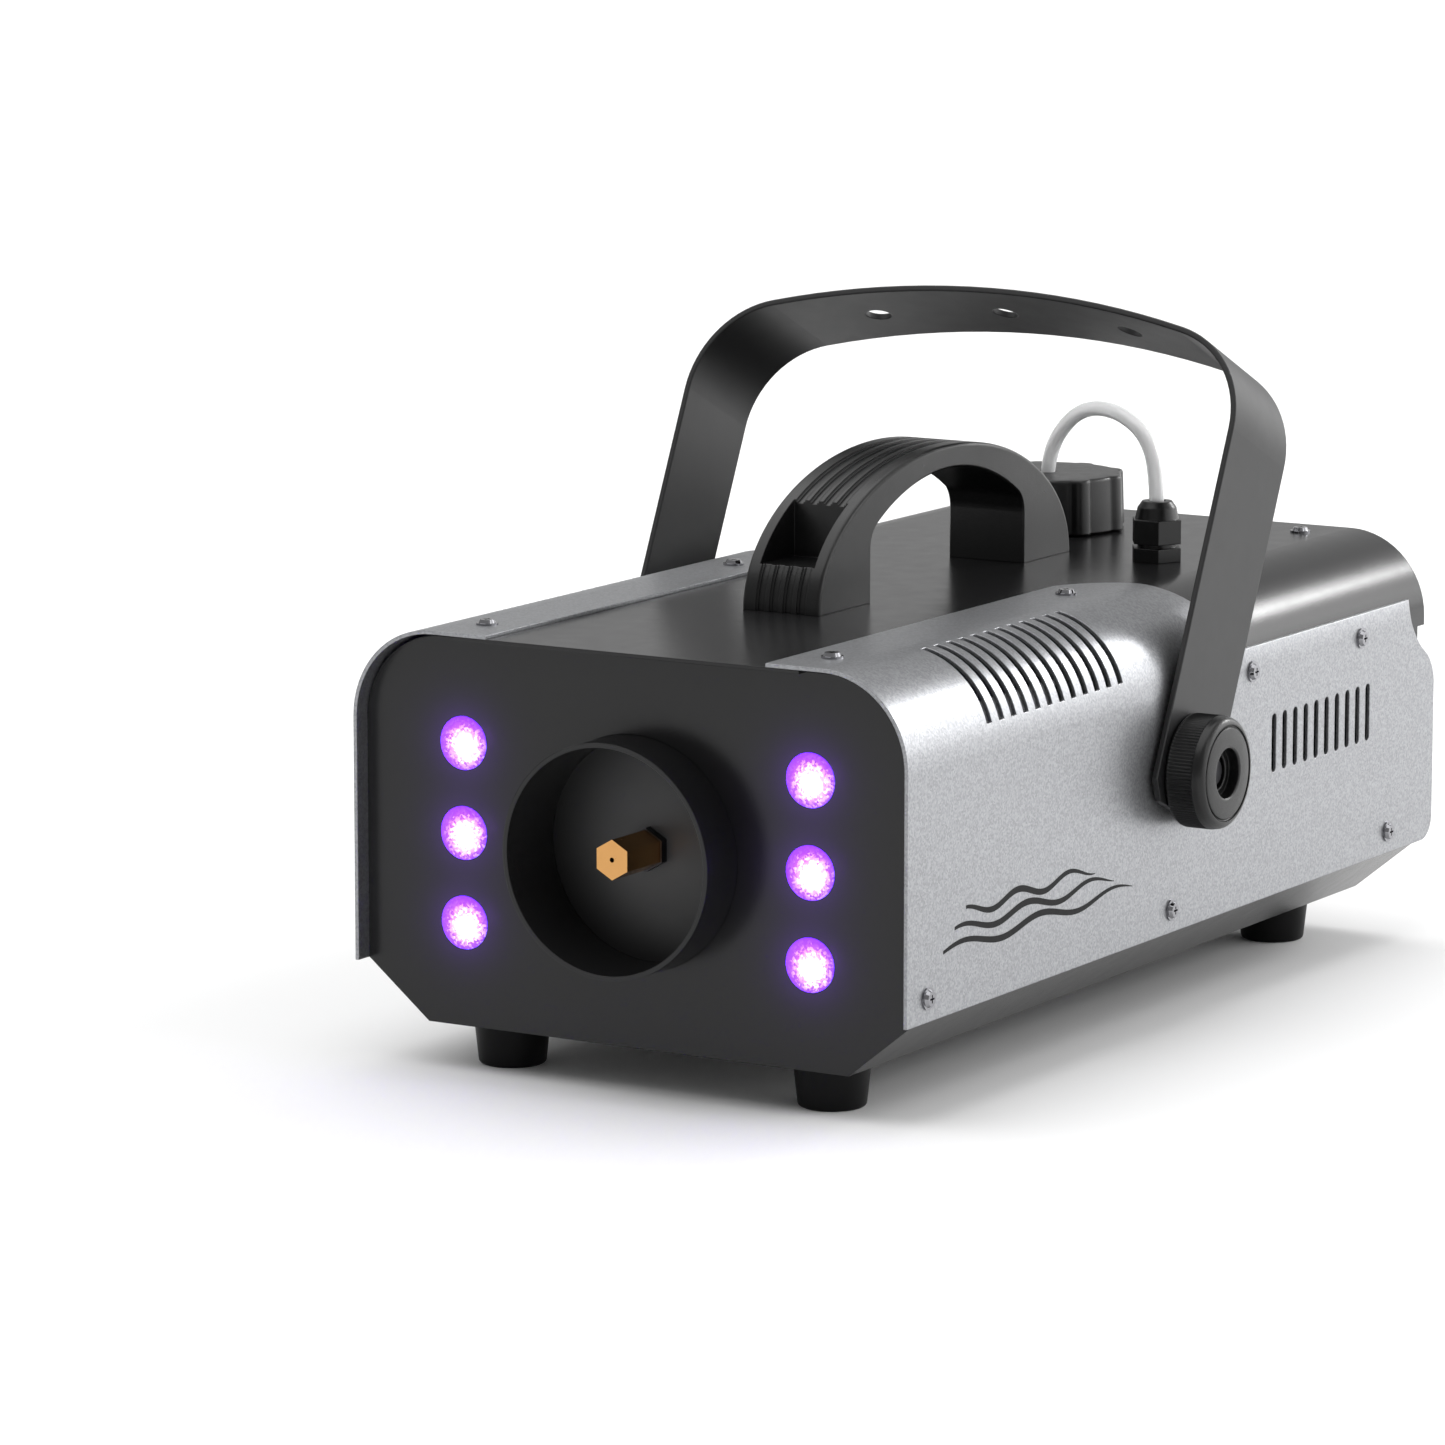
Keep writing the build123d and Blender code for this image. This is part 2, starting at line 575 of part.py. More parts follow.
def suction_hose():
    points = hose_points()
    radii = cord_radii(points)
    path = FilletPolyline(*points, radius=radii)
    print("hose radii", [round(r, 1) for r in radii], "length", round(path.length, 1))
    start = Plane(origin=path @ 0, z_dir=path % 0)
    return sweep(start * Circle(HOSE_R), path=path) - sweep(start * Circle(HOSE_BORE), path=path)


def pickup_tube():
    p = ztube(CAP_X, CAP_Y, HOSE_R, HOSE_BORE, 66.0, 148.0)
    p += zcyl(CAP_X, CAP_Y, 5.5, 61.0, 74.0) - zcyl(CAP_X, CAP_Y, HOSE_BORE, 64.0, 75.0)
    for z in (63.5, 66.5, 69.5):
        p -= ztube(CAP_X, CAP_Y, 6.0, 4.8, z, z + 1.2)
    return p


def gland_body():
    g = zsec(Pos(GLAND_X, GLAND_Y) * hexagon(GLAND_FLATS, 1), Z_IN, 144.0)
    g += zcyl(GLAND_X, GLAND_Y, 6.4, 144.0, 149.5) + zcyl(GLAND_X, GLAND_Y, 6.0, 128.0, Z_IN)
    return g - zcyl(GLAND_X, GLAND_Y, HOSE_R + 0.1, 120, 160)


def gland_nut():
    n = zsec(Pos(GLAND_X, GLAND_Y) * hexagon(GLAND_FLATS, 1), 145.4, 153.4)
    n += Pos(GLAND_X, GLAND_Y, 153.4) * extrude(Circle(7.3), amount=4.0, taper=12)
    n += Pos(GLAND_X, GLAND_Y, 157.4) * extrude(Circle(6.4), amount=2.0, taper=35)
    n -= zcyl(GLAND_X, GLAND_Y, 6.4, 140, 155.0)
    return n - zcyl(GLAND_X, GLAND_Y, HOSE_R + 0.4, 140, 165)


def gland_seal():
    return ztube(GLAND_X, GLAND_Y, 6.3, HOSE_R + 0.05, 149.6, 154.9)


def gland_locknut():
    n = zsec(Pos(GLAND_X, GLAND_Y) * hexagon(16.0, 1), Z_IN - T - 4.0, Z_IN - T)
    return n - zcyl(GLAND_X, GLAND_Y, 6.0, 130, 140)


def pump_inlet_hose():
    pts = [(GLAND_X, GLAND_Y, 150), (GLAND_X, GLAND_Y, 92), (PUMP_X, 124, 76)]
    pts += [(PUMP_X, 124, PUMP_Z), (PUMP_X, 112, PUMP_Z)]
    return pipe(pts, 6.0, HOSE_R - 0.1, HOSE_BORE)


def pump_outlet_tube():
    top = HEATER_Z + 10
    pts = [(PUMP_X, 36, PUMP_Z), (PUMP_X, 29, PUMP_Z), (50, 46, 68), (20, 46, top), (0, 46, top), (0, 38, top)]
    return pipe(pts, 3.4, 2.2, 1.2)


# ---------------------------------------------------------------- handle
def handle_outer(da=0.0):
    a, b = HANDLE_A - da, HANDLE_B - da
    arc = EllipticalCenterArc((0, Z_IN), a, b, start_angle=0, arc_size=180)
    return make_face(Curve() + [arc, Line((-a, Z_IN), (a, Z_IN))])


def handle_opening():
    side = 50.5
    pts = [(-side, Z_IN - 2), (-side, 161.5)]
    arch = ThreePointArc((-side, 161.5), (0, 177.0), (side, 161.5))
    lines = [Line(pts[0], pts[1]), arch, Line((side, 161.5), (side, Z_IN - 2)), Line((side, Z_IN - 2), pts[0])]
    face = make_face(Curve() + lines)
    top = face.vertices().sort_by(Axis.Y)[-2:]
    return fillet(top, 9.0)


def handle_side_edges(part, low, high):
    """Edges of the handle's two side faces whose middle lies between two heights."""
    found = []
    for edge in part.edges():
        c = edge.center()
        if abs(abs(c.X) - HANDLE_HW) < 0.01 and low < c.Z < high:
            found.append(edge)
    return found


def carry_handle():
    h = xsec(handle_outer(), -HANDLE_HW, HANDLE_HW) - xsec(handle_opening(), -20, 20)
    h = fillet(handle_side_edges(h, 180, 190), 1.2)
    h = chamfer(handle_side_edges(h, Z_IN + 0.5, 180), 0.6)
    for depth, half in FLUTE_STEPS:
        ring = handle_outer() - handle_outer(depth)
        for x in FLUTE_XS:
            h -= xsec(ring, x - half, x + half)
    for sy in (-1, 1):
        y0, y1 = sorted((sy * 80.0, sy * 58.0))
        h -= box(-10, 10, y0, y1, 153.8, 190)
        h -= zcyl(0, sy * HANDLE_SCREW_Y, 2.05, Z_IN - 1, Z_IN + 11)
    return h


def handle_screws():
    out = []
    for sy in (-1, 1):
        y = sy * HANDLE_SCREW_Y
        out.append(zcyl(0, y, 2.0, Z_IN - T, Z_IN + 10) + zcyl(0, y, 4.2, Z_IN - T - 2.4, Z_IN - T))
    return Compound(children=out)


# ---------------------------------------------------------------- bracket
def strap_outline(off):
    """Half-open outer path of the bracket, moved inward by off."""
    x = STRAP_X + STRAP_T - off
    d = STRAP_D - off
    r2 = STRAP_DOME - off
    r1 = STRAP_CORNER - off
    c0 = STRAP_D - STRAP_DOME
    cx = STRAP_X + STRAP_T - STRAP_CORNER
    cd = c0 + sqrt((STRAP_DOME - STRAP_CORNER) ** 2 - cx ** 2)
    ux = cx / (STRAP_DOME - STRAP_CORNER)
    ud = (cd - c0) / (STRAP_DOME - STRAP_CORNER)
    tp = (r2 * ux, c0 + r2 * ud)
    mx = cx + r1 * cos(radians(38))
    md = cd + r1 * sin(radians(38))
    return x, d, tp, (mx, md), cd


def bracket():
    def path(off):
        x, d, tp, mid, cd = strap_outline(off)
        parts = [Line((x, -15.0), (x, cd)), ThreePointArc((x, cd), mid, tp)]
        parts.append(ThreePointArc(tp, (0, d), (-tp[0], tp[1])))
        parts.append(ThreePointArc((-tp[0], tp[1]), (-mid[0], mid[1]), (-x, cd)))
        parts.append(Line((-x, cd), (-x, -15.0)))
        return parts
    outer = path(0.0)
    inner = path(STRAP_T)
    xo, xi = STRAP_X + STRAP_T, STRAP_X
    ends = [Line((xo, -15), (xi, -15)), Line((-xi, -15), (-xo, -15))]
    strap = ysec(make_face(Curve() + outer + inner + ends), -STRAP_W / 2, STRAP_W / 2)
    strap = chamfer([e for e in strap.edges() if abs(abs(e.center().Y) - STRAP_W / 2) < 0.01], 0.35)
    for sx in (-1, 1):
        for sy in (-1, 1):
            tri = make_face(Polyline((sy * 21, -16), (sy * 13.5, -16), (sy * 21, -8.5), close=True))
            strap -= xsec(tri, sx * 102.5 - 3, sx * 102.5 + 3)
    strap -= xcyl(0, 0, STUD_R + RUNNING, -110, 110)
    for x in (-HOLE_PITCH, 0, HOLE_PITCH):
        d = STRAP_D - STRAP_DOME + sqrt(STRAP_DOME ** 2 - x * x)
        strap -= Pos(x, 0, d) * Rot(0, degrees(x / STRAP_DOME), 0) * Cylinder(HOLE_R, 12)
    return Pos(0, PIVOT_Y, PIVOT_Z) * Rot(-LEAN, 0, 0) * strap


def bracket_studs():
    out = []
    for sx in (-1, 1):
        x0, x1 = sorted((sx * 93.0, sx * 113.0))
        s = xcyl(PIVOT_Y, PIVOT_Z, STUD_R, x0, x1)
        a, b = sorted((sx * 93.0, sx * 97.4))
        s += xsec(Pos(PIVOT_Y, PIVOT_Z) * hexagon(13.0), a, b)
        a, b = sorted((sx * 97.4, sx * 98.8))
        out.append(s + box(a, b, PIVOT_Y - 10, PIVOT_Y + 10, 66, 104))
    return Compound(children=out)


def pivot_washers():
    out = []
    for sx in (-1, 1):
        a, b = sorted((sx * 100.0, sx * 101.4))
        out.append(xsec(Pos(PIVOT_Y, PIVOT_Z) * (Circle(12.0) - Circle(STUD_R)), a, b))
    return Compound(children=out)


def knob(sx):
    r = KNOB_R
    a, b = KNOB_X0, KNOB_X1
    k = xcyl(PIVOT_Y, PIVOT_Z, r, a, b)
    k = chamfer(k.edges(), 1.0)
    for i in range(KNOB_GROOVES):
        groove = Pos(a + 6.8, 0, r + 0.05) * Rot(45, 0, 0) * Box(9.6, 0.55, 0.55)
        g = Rot(360.0 / KNOB_GROOVES * i, 0, 0) * groove
        k -= Pos(0, PIVOT_Y, PIVOT_Z) * g
    k -= xsec(Pos(PIVOT_Y, PIVOT_Z) * (Circle(15.6) - Circle(15.0)), b - 0.5, b + 1)
    k -= xcyl(PIVOT_Y, PIVOT_Z, 8.0, b - 4.0, b + 1)
    k -= xcyl(PIVOT_Y, PIVOT_Z, 5.6, b - 6.0, b + 1)
    k -= xcyl(PIVOT_Y, PIVOT_Z, STUD_R + RUNNING, a - 1, b + 1)
    return k if sx > 0 else mirror_x(k)


# ---------------------------------------------------------------- rear controls
def mains_inlet():
    x, z = REAR_ITEMS["inlet"]
    p = box(x - 13.4, x + 13.4, Y_REAR - 20, Y_REAR, z - 9.9, z + 9.9)
    p += ysec(Pos(x, z) * RectangleRounded(50, 23, 8), Y_REAR, Y_REAR + 2.5)
    p -= box(x - 12, x + 12, Y_REAR - 15, Y_REAR + 3, z - 8, z + 8)
    for sx in (-20, 20):
        p -= ycyl(x + sx, z, 1.7, Y_REAR - 1, Y_REAR + 3)
    for dx, dz in ((-7, -2.0), (0, 2.0), (7, -2.0)):
        p += box(x + dx - 1, x + dx + 1, Y_REAR - 26, Y_REAR - 2, z + dz - 2, z + dz + 2)
    return p


def fuse_holder():
    x, z = REAR_ITEMS["fuse"]
    p = ycyl(x, z, 6.1, Y_REAR - 26, Y_REAR) + ycyl(x, z, 8.0, Y_REAR, Y_REAR + 2.0)
    return p - ycyl(x, z, FUSE_R + RUNNING, Y_REAR - 24, Y_REAR + 3)


def fuse_cap():
    x, z = REAR_ITEMS["fuse"]
    p = ycyl(x, z, 6.6, Y_REAR + 2.1, Y_REAR + 8.5) + ycyl(x, z, FUSE_R, Y_REAR - 8, Y_REAR + 2.1)
    return p - box(x - 5, x + 5, Y_REAR + 7.3, Y_REAR + 9, z - 0.6, z + 0.6)


def switch_housing():
    x, z = REAR_ITEMS["switch"]
    p = box(x - 9.4, x + 9.4, Y_REAR - 14, Y_REAR, z - 6.4, z + 6.4)
    p += box(x - 10.5, x + 10.5, Y_REAR, Y_REAR + 1.6, z - 7.5, z + 7.5)
    p -= box(x - 8.0, x + 8.0, Y_REAR - 9.0, Y_REAR + 2, z - 5.0, z + 5.0)
    return p + zcyl(x, Y_REAR - 1.6, 1.0, z - 5.0, z + 5.0)


def rocker():
    x, z = REAR_ITEMS["switch"]
    # two-faced rocker turning about a vertical pin, one half pressed in at rest
    sk = make_face(Polyline((-7.4, 2.3), (0, 3.6), (7.4, 2.3), (6.4, -2.6), (-6.4, -2.6), close=True))
    body = extrude(sk, amount=4.6, both=True)
    body -= Cylinder(1.05, 20)
    return Pos(x, Y_REAR - 1.6, z) * Rot(0, 0, -8) * body


def button_bezel():
    x, z = REAR_ITEMS["button"]
    p = ycyl(x, z, 7.9, Y_REAR - 22, Y_REAR) + ycyl(x, z, 10.0, Y_REAR, Y_REAR + 2.2)
    return p - ycyl(x, z, BUTTON_R + RUNNING, Y_REAR - 20, Y_REAR + 3)


def fog_button():
    x, z = REAR_ITEMS["button"]
    return ycyl(x, z, BUTTON_R, Y_REAR - 9.0, Y_REAR + 5.0)


def remote_socket():
    x, z = REAR_ITEMS["socket"]
    p = ycyl(x, z, 7.5, Y_REAR - 18, Y_REAR) + ysec(Pos(x, z) * RectangleRounded(24, 20, 3), Y_REAR, Y_REAR + 2)
    p -= ycyl(x, z, 6.6, Y_REAR - 10, Y_REAR + 3)
    for i in range(5):
        a = radians(180 + 45 * i)
        p += ycyl(x + 4.0 * cos(a), z + 4.0 * sin(a), 0.5, Y_REAR - 10.5, Y_REAR - 6)
    return p


# ---------------------------------------------------------------- electronics
def control_board():
    b = box(-92, -47, -70, 60, Z_BOARD, Z_BOARD + 1.6)
    for x in (-72, -52):
        for y in (-66, 56):
            b -= zcyl(x, y, 1.5, 35, 39)
    return b


def board_parts():
    out = [box(-88, -56, -58, -26, 37.6, 62)]
    out.append(box(-88, -70, -18, 0, 37.6, 53))
    out.append(box(-64, -50, -18, 8, 37.6, 47))
    out.append(zcyl(-80, 14, 6.0, 37.6, 58))
    out.append(box(-92, -84, 26, 54, 37.6, 49))
    out.append(box(-72, -60, 20, 32, 37.6, 40))
    # upright wireless receiver with its wire aerial
    out.append(box(-73, -71.5, 38, 52, 37.6, 52) + zcyl(-72.2, 45, 0.7, 52, 84))
    return Compound(children=out)


def led_driver():
    d = box(49, 78, -90, -2, Z_BOARD, Z_BOARD + 1.6)
    for x in (52, 72):
        for y in (-86, -6):
            d -= zcyl(x, y, 1.5, 35, 39)
    d += box(54, 72, -76, -52, 37.6, 56) + box(54, 68, -44, -30, 37.6, 48)
    return d + zcyl(66, -20, 5.0, 37.6, 54)


def wiring_loom():
    mains = [(-69, 152.2, 46), (-69, 146, 46), (-86, 136, 46), (-88, 100, 44), (-88, 54.1, 44)]
    switch = [(-22, 164.2, 45), (-22, 158.5, 45), (-30, 157, 30), (-76, 157, 30)]
    switch += [(-84, 100, 39), (-85.5, 54.1, 40)]
    heater = [(-18, 42.1, 71), (-18, 52, 71), (-55, 52, 58), (-55, 50, 37.7)]
    return Compound(children=[pipe(mains, 4.0, 1.9), pipe(switch, 3.0, 1.4), pipe(heater, 3.0, 1.3)])


# ---------------------------------------------------------------- build everything
PARTS = dict(
    chassis_tray=chassis_tray, front_panel=front_panel, rear_panel=rear_panel,
    side_cover_right=side_cover, side_cover_left=lambda: mirror_x(side_cover()), top_cover=top_cover,
    cover_screws=cover_screws, feet=feet, foot_screws=foot_screws,
    collar_tube=collar_tube, collar_back_plate=collar_back_plate, nozzle_hex=nozzle_hex,
    nozzle_ring=nozzle_ring, nozzle_stem=nozzle_stem, led_lenses=led_lenses,
    led_boards=led_boards, led_heat_sinks=led_heat_sinks,
    heater_block=heater_block, heater_elements=heater_elements,
    heater_insulation=heater_insulation, heater_jacket=heater_jacket, inner_supports=inner_supports,
    thermostat=thermostat, thermal_fuse=thermal_fuse, pump_body=pump_body, pump_frame=pump_frame,
    pump_plunger=pump_plunger, pump_mounts=pump_mounts, tank=tank, tank_cradle=tank_cradle,
    tank_strap=tank_strap, tank_cap=tank_cap, cap_seal=cap_seal, suction_hose=suction_hose,
    pickup_tube=pickup_tube, gland_body=gland_body, gland_nut=gland_nut,
    gland_seal=gland_seal, gland_locknut=gland_locknut, pump_inlet_hose=pump_inlet_hose,
    pump_outlet_tube=pump_outlet_tube, carry_handle=carry_handle, handle_screws=handle_screws,
    bracket=bracket, bracket_studs=bracket_studs, pivot_washers=pivot_washers,
    knob_right=lambda: knob(1), knob_left=lambda: knob(-1), mains_inlet=mains_inlet,
    fuse_holder=fuse_holder, fuse_cap=fuse_cap, switch_housing=switch_housing, rocker=rocker,
    button_bezel=button_bezel, fog_button=fog_button, remote_socket=remote_socket,
    control_board=control_board, board_parts=board_parts, led_driver=led_driver, wiring_loom=wiring_loom,
)

os.makedirs("parts", exist_ok=True)
for part_name, make in PARTS.items():
    save(make(), part_name)
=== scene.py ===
import json
from math import cos, hypot, pi, radians, sin, sqrt

import bmesh
import bpy
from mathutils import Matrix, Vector


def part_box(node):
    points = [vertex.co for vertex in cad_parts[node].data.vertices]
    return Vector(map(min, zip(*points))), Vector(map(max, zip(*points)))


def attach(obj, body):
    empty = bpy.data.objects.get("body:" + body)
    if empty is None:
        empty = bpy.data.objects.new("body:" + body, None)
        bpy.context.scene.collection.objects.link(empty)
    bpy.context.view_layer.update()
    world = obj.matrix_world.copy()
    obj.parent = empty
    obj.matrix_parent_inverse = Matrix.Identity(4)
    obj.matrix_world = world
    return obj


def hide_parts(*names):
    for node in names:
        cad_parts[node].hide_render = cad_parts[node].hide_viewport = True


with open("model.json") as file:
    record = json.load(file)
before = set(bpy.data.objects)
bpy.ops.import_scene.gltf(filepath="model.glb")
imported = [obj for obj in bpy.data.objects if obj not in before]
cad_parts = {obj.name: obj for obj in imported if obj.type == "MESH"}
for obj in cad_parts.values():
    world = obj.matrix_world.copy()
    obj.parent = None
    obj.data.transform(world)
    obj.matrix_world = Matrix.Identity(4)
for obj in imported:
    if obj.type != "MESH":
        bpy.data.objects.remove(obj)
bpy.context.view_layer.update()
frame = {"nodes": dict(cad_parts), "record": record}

NODES = frame["nodes"]

# ---------------------------------------------------------------- camera
CAMERA_PLACE = (1.0833, -1.9024, 0.4695)
CAMERA_AZIMUTH = 31.27       # degrees to the left of +Y that the camera looks
CAMERA_ELEVATION = 9.79      # degrees below level that it looks
CAMERA_LENS = 168.6          # millimetres, as is the sensor's width
SENSOR = 36.0


def add_camera():
    data = bpy.data.cameras.new("camera")
    data.lens = CAMERA_LENS
    data.sensor_width = SENSOR
    camera = bpy.data.objects.new("camera", data)
    camera.location = CAMERA_PLACE
    camera.rotation_euler = (radians(90 - CAMERA_ELEVATION), 0, radians(CAMERA_AZIMUTH))
    bpy.context.scene.collection.objects.link(camera)
    bpy.context.scene.camera = camera


# ---------------------------------------------------------------- material tools
EDGE_R = 0.0005          # how far the painted and moulded parts' hard edges look rounded


class Shader:
    """A Principled material with short calls for the nodes that this scene uses."""

    def __init__(self, name, color, rough, metallic=0.0, spec=0.5):
        self.mat = bpy.data.materials.new(name)
        self.mat.use_nodes = True
        self.tree = self.mat.node_tree
        self.bsdf = self.tree.nodes["Principled BSDF"]
        self.set("Base Color", (*color, 1.0))
        self.set("Roughness", rough)
        self.set("Metallic", metallic)
        self.set("Specular IOR Level", spec)
        self.color = color
        self.rough = rough
        self.coords = self.node("ShaderNodeTexCoord").outputs["Object"]
        self.normal = None

    def set(self, socket, value):
        self.bsdf.inputs[socket].default_value = value

    def node(self, kind, **settings):
        node = self.tree.nodes.new(kind)
        for key, value in settings.items():
            setattr(node, key, value)
        return node

    def link(self, a, b):
        self.tree.links.new(a, b)

    def stretched(self, scale):
        mapping = self.node("ShaderNodeMapping")
        mapping.inputs["Scale"].default_value = scale
        self.link(self.coords, mapping.inputs["Vector"])
        return mapping.outputs["Vector"]

    def noise(self, scale, detail=3.0, stretch=None):
        node = self.node("ShaderNodeTexNoise")
        node.inputs["Scale"].default_value = scale
        node.inputs["Detail"].default_value = detail
        self.link(self.stretched(stretch) if stretch else self.coords, node.inputs["Vector"])
        return node.outputs["Fac"]

    def cells(self, scale):
        """A random level for each cell of a foam-like pattern."""
        node = self.node("ShaderNodeTexVoronoi")
        node.inputs["Scale"].default_value = scale
        self.link(self.coords, node.inputs["Vector"])
        split = self.node("ShaderNodeSeparateColor")
        self.link(node.outputs["Color"], split.inputs[0])
        return split.outputs[0]

    def remap(self, socket, low, high, start=0.0, end=1.0):
        """Goes from low to high as the socket goes from start to end."""
        node = self.node("ShaderNodeMapRange")
        for key, value in zip(("From Min", "From Max", "To Min", "To Max"), (start, end, low, high)):
            node.inputs[key].default_value = value
        self.link(socket, node.inputs["Value"])
        return node.outputs["Result"]

    def math(self, operation, a, b):
        node = self.node("ShaderNodeMath", operation=operation)
        for slot, value in enumerate((a, b)):
            if isinstance(value, (int, float)):
                node.inputs[slot].default_value = value
            else:
                self.link(value, node.inputs[slot])
        return node.outputs[0]

    def mix(self, factor, a, b):
        """Colour a where the factor is 0, colour b where it is 1."""
        node = self.node("ShaderNodeMix", data_type="RGBA")
        self.link(factor, node.inputs["Factor"])
        color_a, color_b = node.inputs[6], node.inputs[7]
        color_a.default_value = (*a, 1.0)
        color_b.default_value = (*b, 1.0)
        return node.outputs[2]

    def axis(self, index):
        split = self.node("ShaderNodeSeparateXYZ")
        self.link(self.coords, split.inputs[0])
        return split.outputs[index]

    def distance(self, place):
        node = self.node("ShaderNodeVectorMath", operation="DISTANCE")
        self.link(self.coords, node.inputs[0])
        node.inputs[1].default_value = place
        return node.outputs["Value"]

    def paint(self, factor, a, b):
        self.link(self.mix(factor, a, b), self.bsdf.inputs["Base Color"])

    def vary_color(self, socket, spread):
        """Colour drifts lighter and darker by spread as the socket goes from 0 to 1."""
        dark = tuple(c * (1 - spread) for c in self.color)
        light = tuple(min(1.0, c * (1 + spread)) for c in self.color)
        self.paint(socket, dark, light)

    def vary_rough(self, socket, spread):
        low, high = max(0.02, self.rough - spread), self.rough + spread
        self.link(self.remap(socket, low, high), self.bsdf.inputs["Roughness"])

    def bump(self, socket, depth, strength=1.0):
        """Adds a relief of the given depth in metres."""
        node = self.node("ShaderNodeBump")
        node.inputs["Distance"].default_value = depth
        node.inputs["Strength"].default_value = strength
        self.link(socket, node.inputs["Height"])
        if self.normal is not None:
            self.link(self.normal, node.inputs["Normal"])
        self.normal = node.outputs["Normal"]
        self.link(self.normal, self.bsdf.inputs["Normal"])

    def soften(self, radius):
        """Rounds every hard edge by a radius, so that it catches a thin line of light."""
        node = self.node("ShaderNodeBevel", samples=6)
        node.inputs["Radius"].default_value = radius
        self.normal = node.outputs["Normal"]
        self.link(self.normal, self.bsdf.inputs["Normal"])


# ---------------------------------------------------------------- materials, one per slot
def painted_silver():
    """Metallic paint: fine flakes of uneven brightness over a faint orange peel."""
    s = Shader("painted_silver", (0.31, 0.315, 0.328), 0.36, metallic=0.85)
    s.soften(EDGE_R)
    coarse = s.math("MULTIPLY", s.cells(1500), 0.6)
    fine = s.math("MULTIPLY", s.noise(1400, 1.0), 0.4)
    s.vary_color(s.math("ADD", coarse, fine), 0.27)
    s.vary_rough(s.noise(60, 3.0), 0.02)
    s.bump(s.cells(1500), 0.00002, 0.5)
    return s.mat


def powder_coat(name, color, rough, spec, grain):
    """Black powder coat: soft mottled gloss over a pebbled skin."""
    s = Shader(name, color, rough, spec=spec)
    s.soften(EDGE_R)
    s.vary_color(s.noise(35, 4.0), 0.12)
    s.vary_rough(s.noise(140, 3.0), 0.035)
    s.bump(s.noise(grain, 2.0), 0.00003, 0.35)
    return s.mat


def moulded(name, color, rough, spec=0.45, depth=0.00004):
    """Moulded plastic with a spark-eroded texture and slightly polished patches."""
    s = Shader(name, color, rough, spec=spec)
    s.soften(EDGE_R)
    s.vary_color(s.noise(60, 3.0), 0.14)
    s.vary_rough(s.noise(220, 2.0), 0.05)
    s.bump(s.cells(2600), depth, 0.35)
    return s.mat


def rubber():
    s = Shader("rubber", (0.003, 0.003, 0.0033), 0.45, spec=0.14)
    s.vary_color(s.noise(80, 4.0), 0.25)
    s.vary_rough(s.noise(160, 3.0), 0.08)
    s.bump(s.noise(900, 3.0), 0.00004, 0.4)
    return s.mat


def metal(name, color, rough, spread=0.08):
    """Bare metal with fine scratches that run along Y, and a little tarnish."""
    s = Shader(name, color, rough, metallic=1.0)
    s.vary_color(s.noise(120, 4.0), spread)
    lines = s.noise(1.0, 4.0, stretch=(900, 60, 900))
    s.vary_rough(lines, 0.06)
    s.bump(lines, 0.00001, 0.4)
    return s.mat


LIGHT_BRASS = (0.66, 0.36, 0.13)
DARK_BRASS = (0.44, 0.17, 0.05)
DARKENING_REACH = 0.006      # how far the darkening fades, each side of the back of the hex


def brass():
    """Turned brass with lathe lines round its axis, darker from the back of the hex on."""
    s = Shader("brass", LIGHT_BRASS, 0.24, metallic=1.0)
    hex_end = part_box("nozzle_hex")[1].y
    # darker from the back of the hex on, towards the collar's back plate, with some random tone
    depth = s.remap(s.axis(1), 0.0, 0.9, hex_end - DARKENING_REACH, hex_end + DARKENING_REACH)
    darkening = s.math("ADD", depth, s.math("MULTIPLY", s.noise(90, 4.0), 0.4))
    s.paint(s.remap(darkening, 0, 1, 0.1, 1.1), LIGHT_BRASS, DARK_BRASS)
    s.vary_rough(s.noise(400, 2.0), 0.07)
    s.bump(s.noise(1.0, 2.0, stretch=(60, 4200, 60)), 0.00001, 0.5)
    return s.mat


LENS_CELLS = 1250
LENS_GLOW = (
    # share of the way out from the bright core, colour
    (0.42, (1.0, 0.97, 1.0, 1.0)),
    (1.0, (0.05, 0.008, 0.42, 1.0)),
    (0.60, (0.44, 0.36, 1.0, 1.0)),
    (0.80, (0.10, 0.045, 1.0, 1.0)),
)


def lit_lens():
    """Lit lamp lens: a white core that falls to violet, broken up by the lens's fine cells."""
    s = Shader("lit_lens", (0.10, 0.03, 0.30), 0.22, spec=0.5)
    spread = s.node("ShaderNodeAttribute", attribute_name="from_centre").outputs["Fac"]
    cell = s.math("MULTIPLY", s.cells(LENS_CELLS), 0.34)
    reach = s.math("ADD", spread, s.math("SUBTRACT", cell, 0.17))
    s.link(color_ramp(s.tree, reach, LENS_GLOW), s.bsdf.inputs["Emission Color"])
    s.set("Emission Strength", 1.5)
    s.bump(s.cells(LENS_CELLS), 0.0002, 0.6)
    return s.mat


def color_ramp(tree, socket, stops):
    """Colours along a 0 to 1 socket; the first two stops take the ramp's own two, the rest are added."""
    node = tree.nodes.new("ShaderNodeValToRGB")
    tree.links.new(socket, node.inputs[0])
    elements = node.color_ramp.elements
    for element, (place, color) in zip(elements, stops[:2]):
        element.position = place
        element.color = color
    for place, color in stops[2:]:
        elements.new(place).color = color
    return node.outputs["Color"]


def silicone():
    """Translucent milky silicone tube."""
    s = Shader("silicone", (0.95, 0.955, 0.96), 0.18, spec=0.5)
    s.vary_color(s.noise(70, 3.0), 0.04)
    s.vary_rough(s.noise(300, 2.0), 0.05)
    s.set("Transmission Weight", 0.3)
    s.set("IOR", 1.41)
    s.set("Subsurface Weight", 0.35)
    s.set("Subsurface Radius", (0.003, 0.003, 0.003))
    s.set("Subsurface Scale", 1.0)
    return s.mat


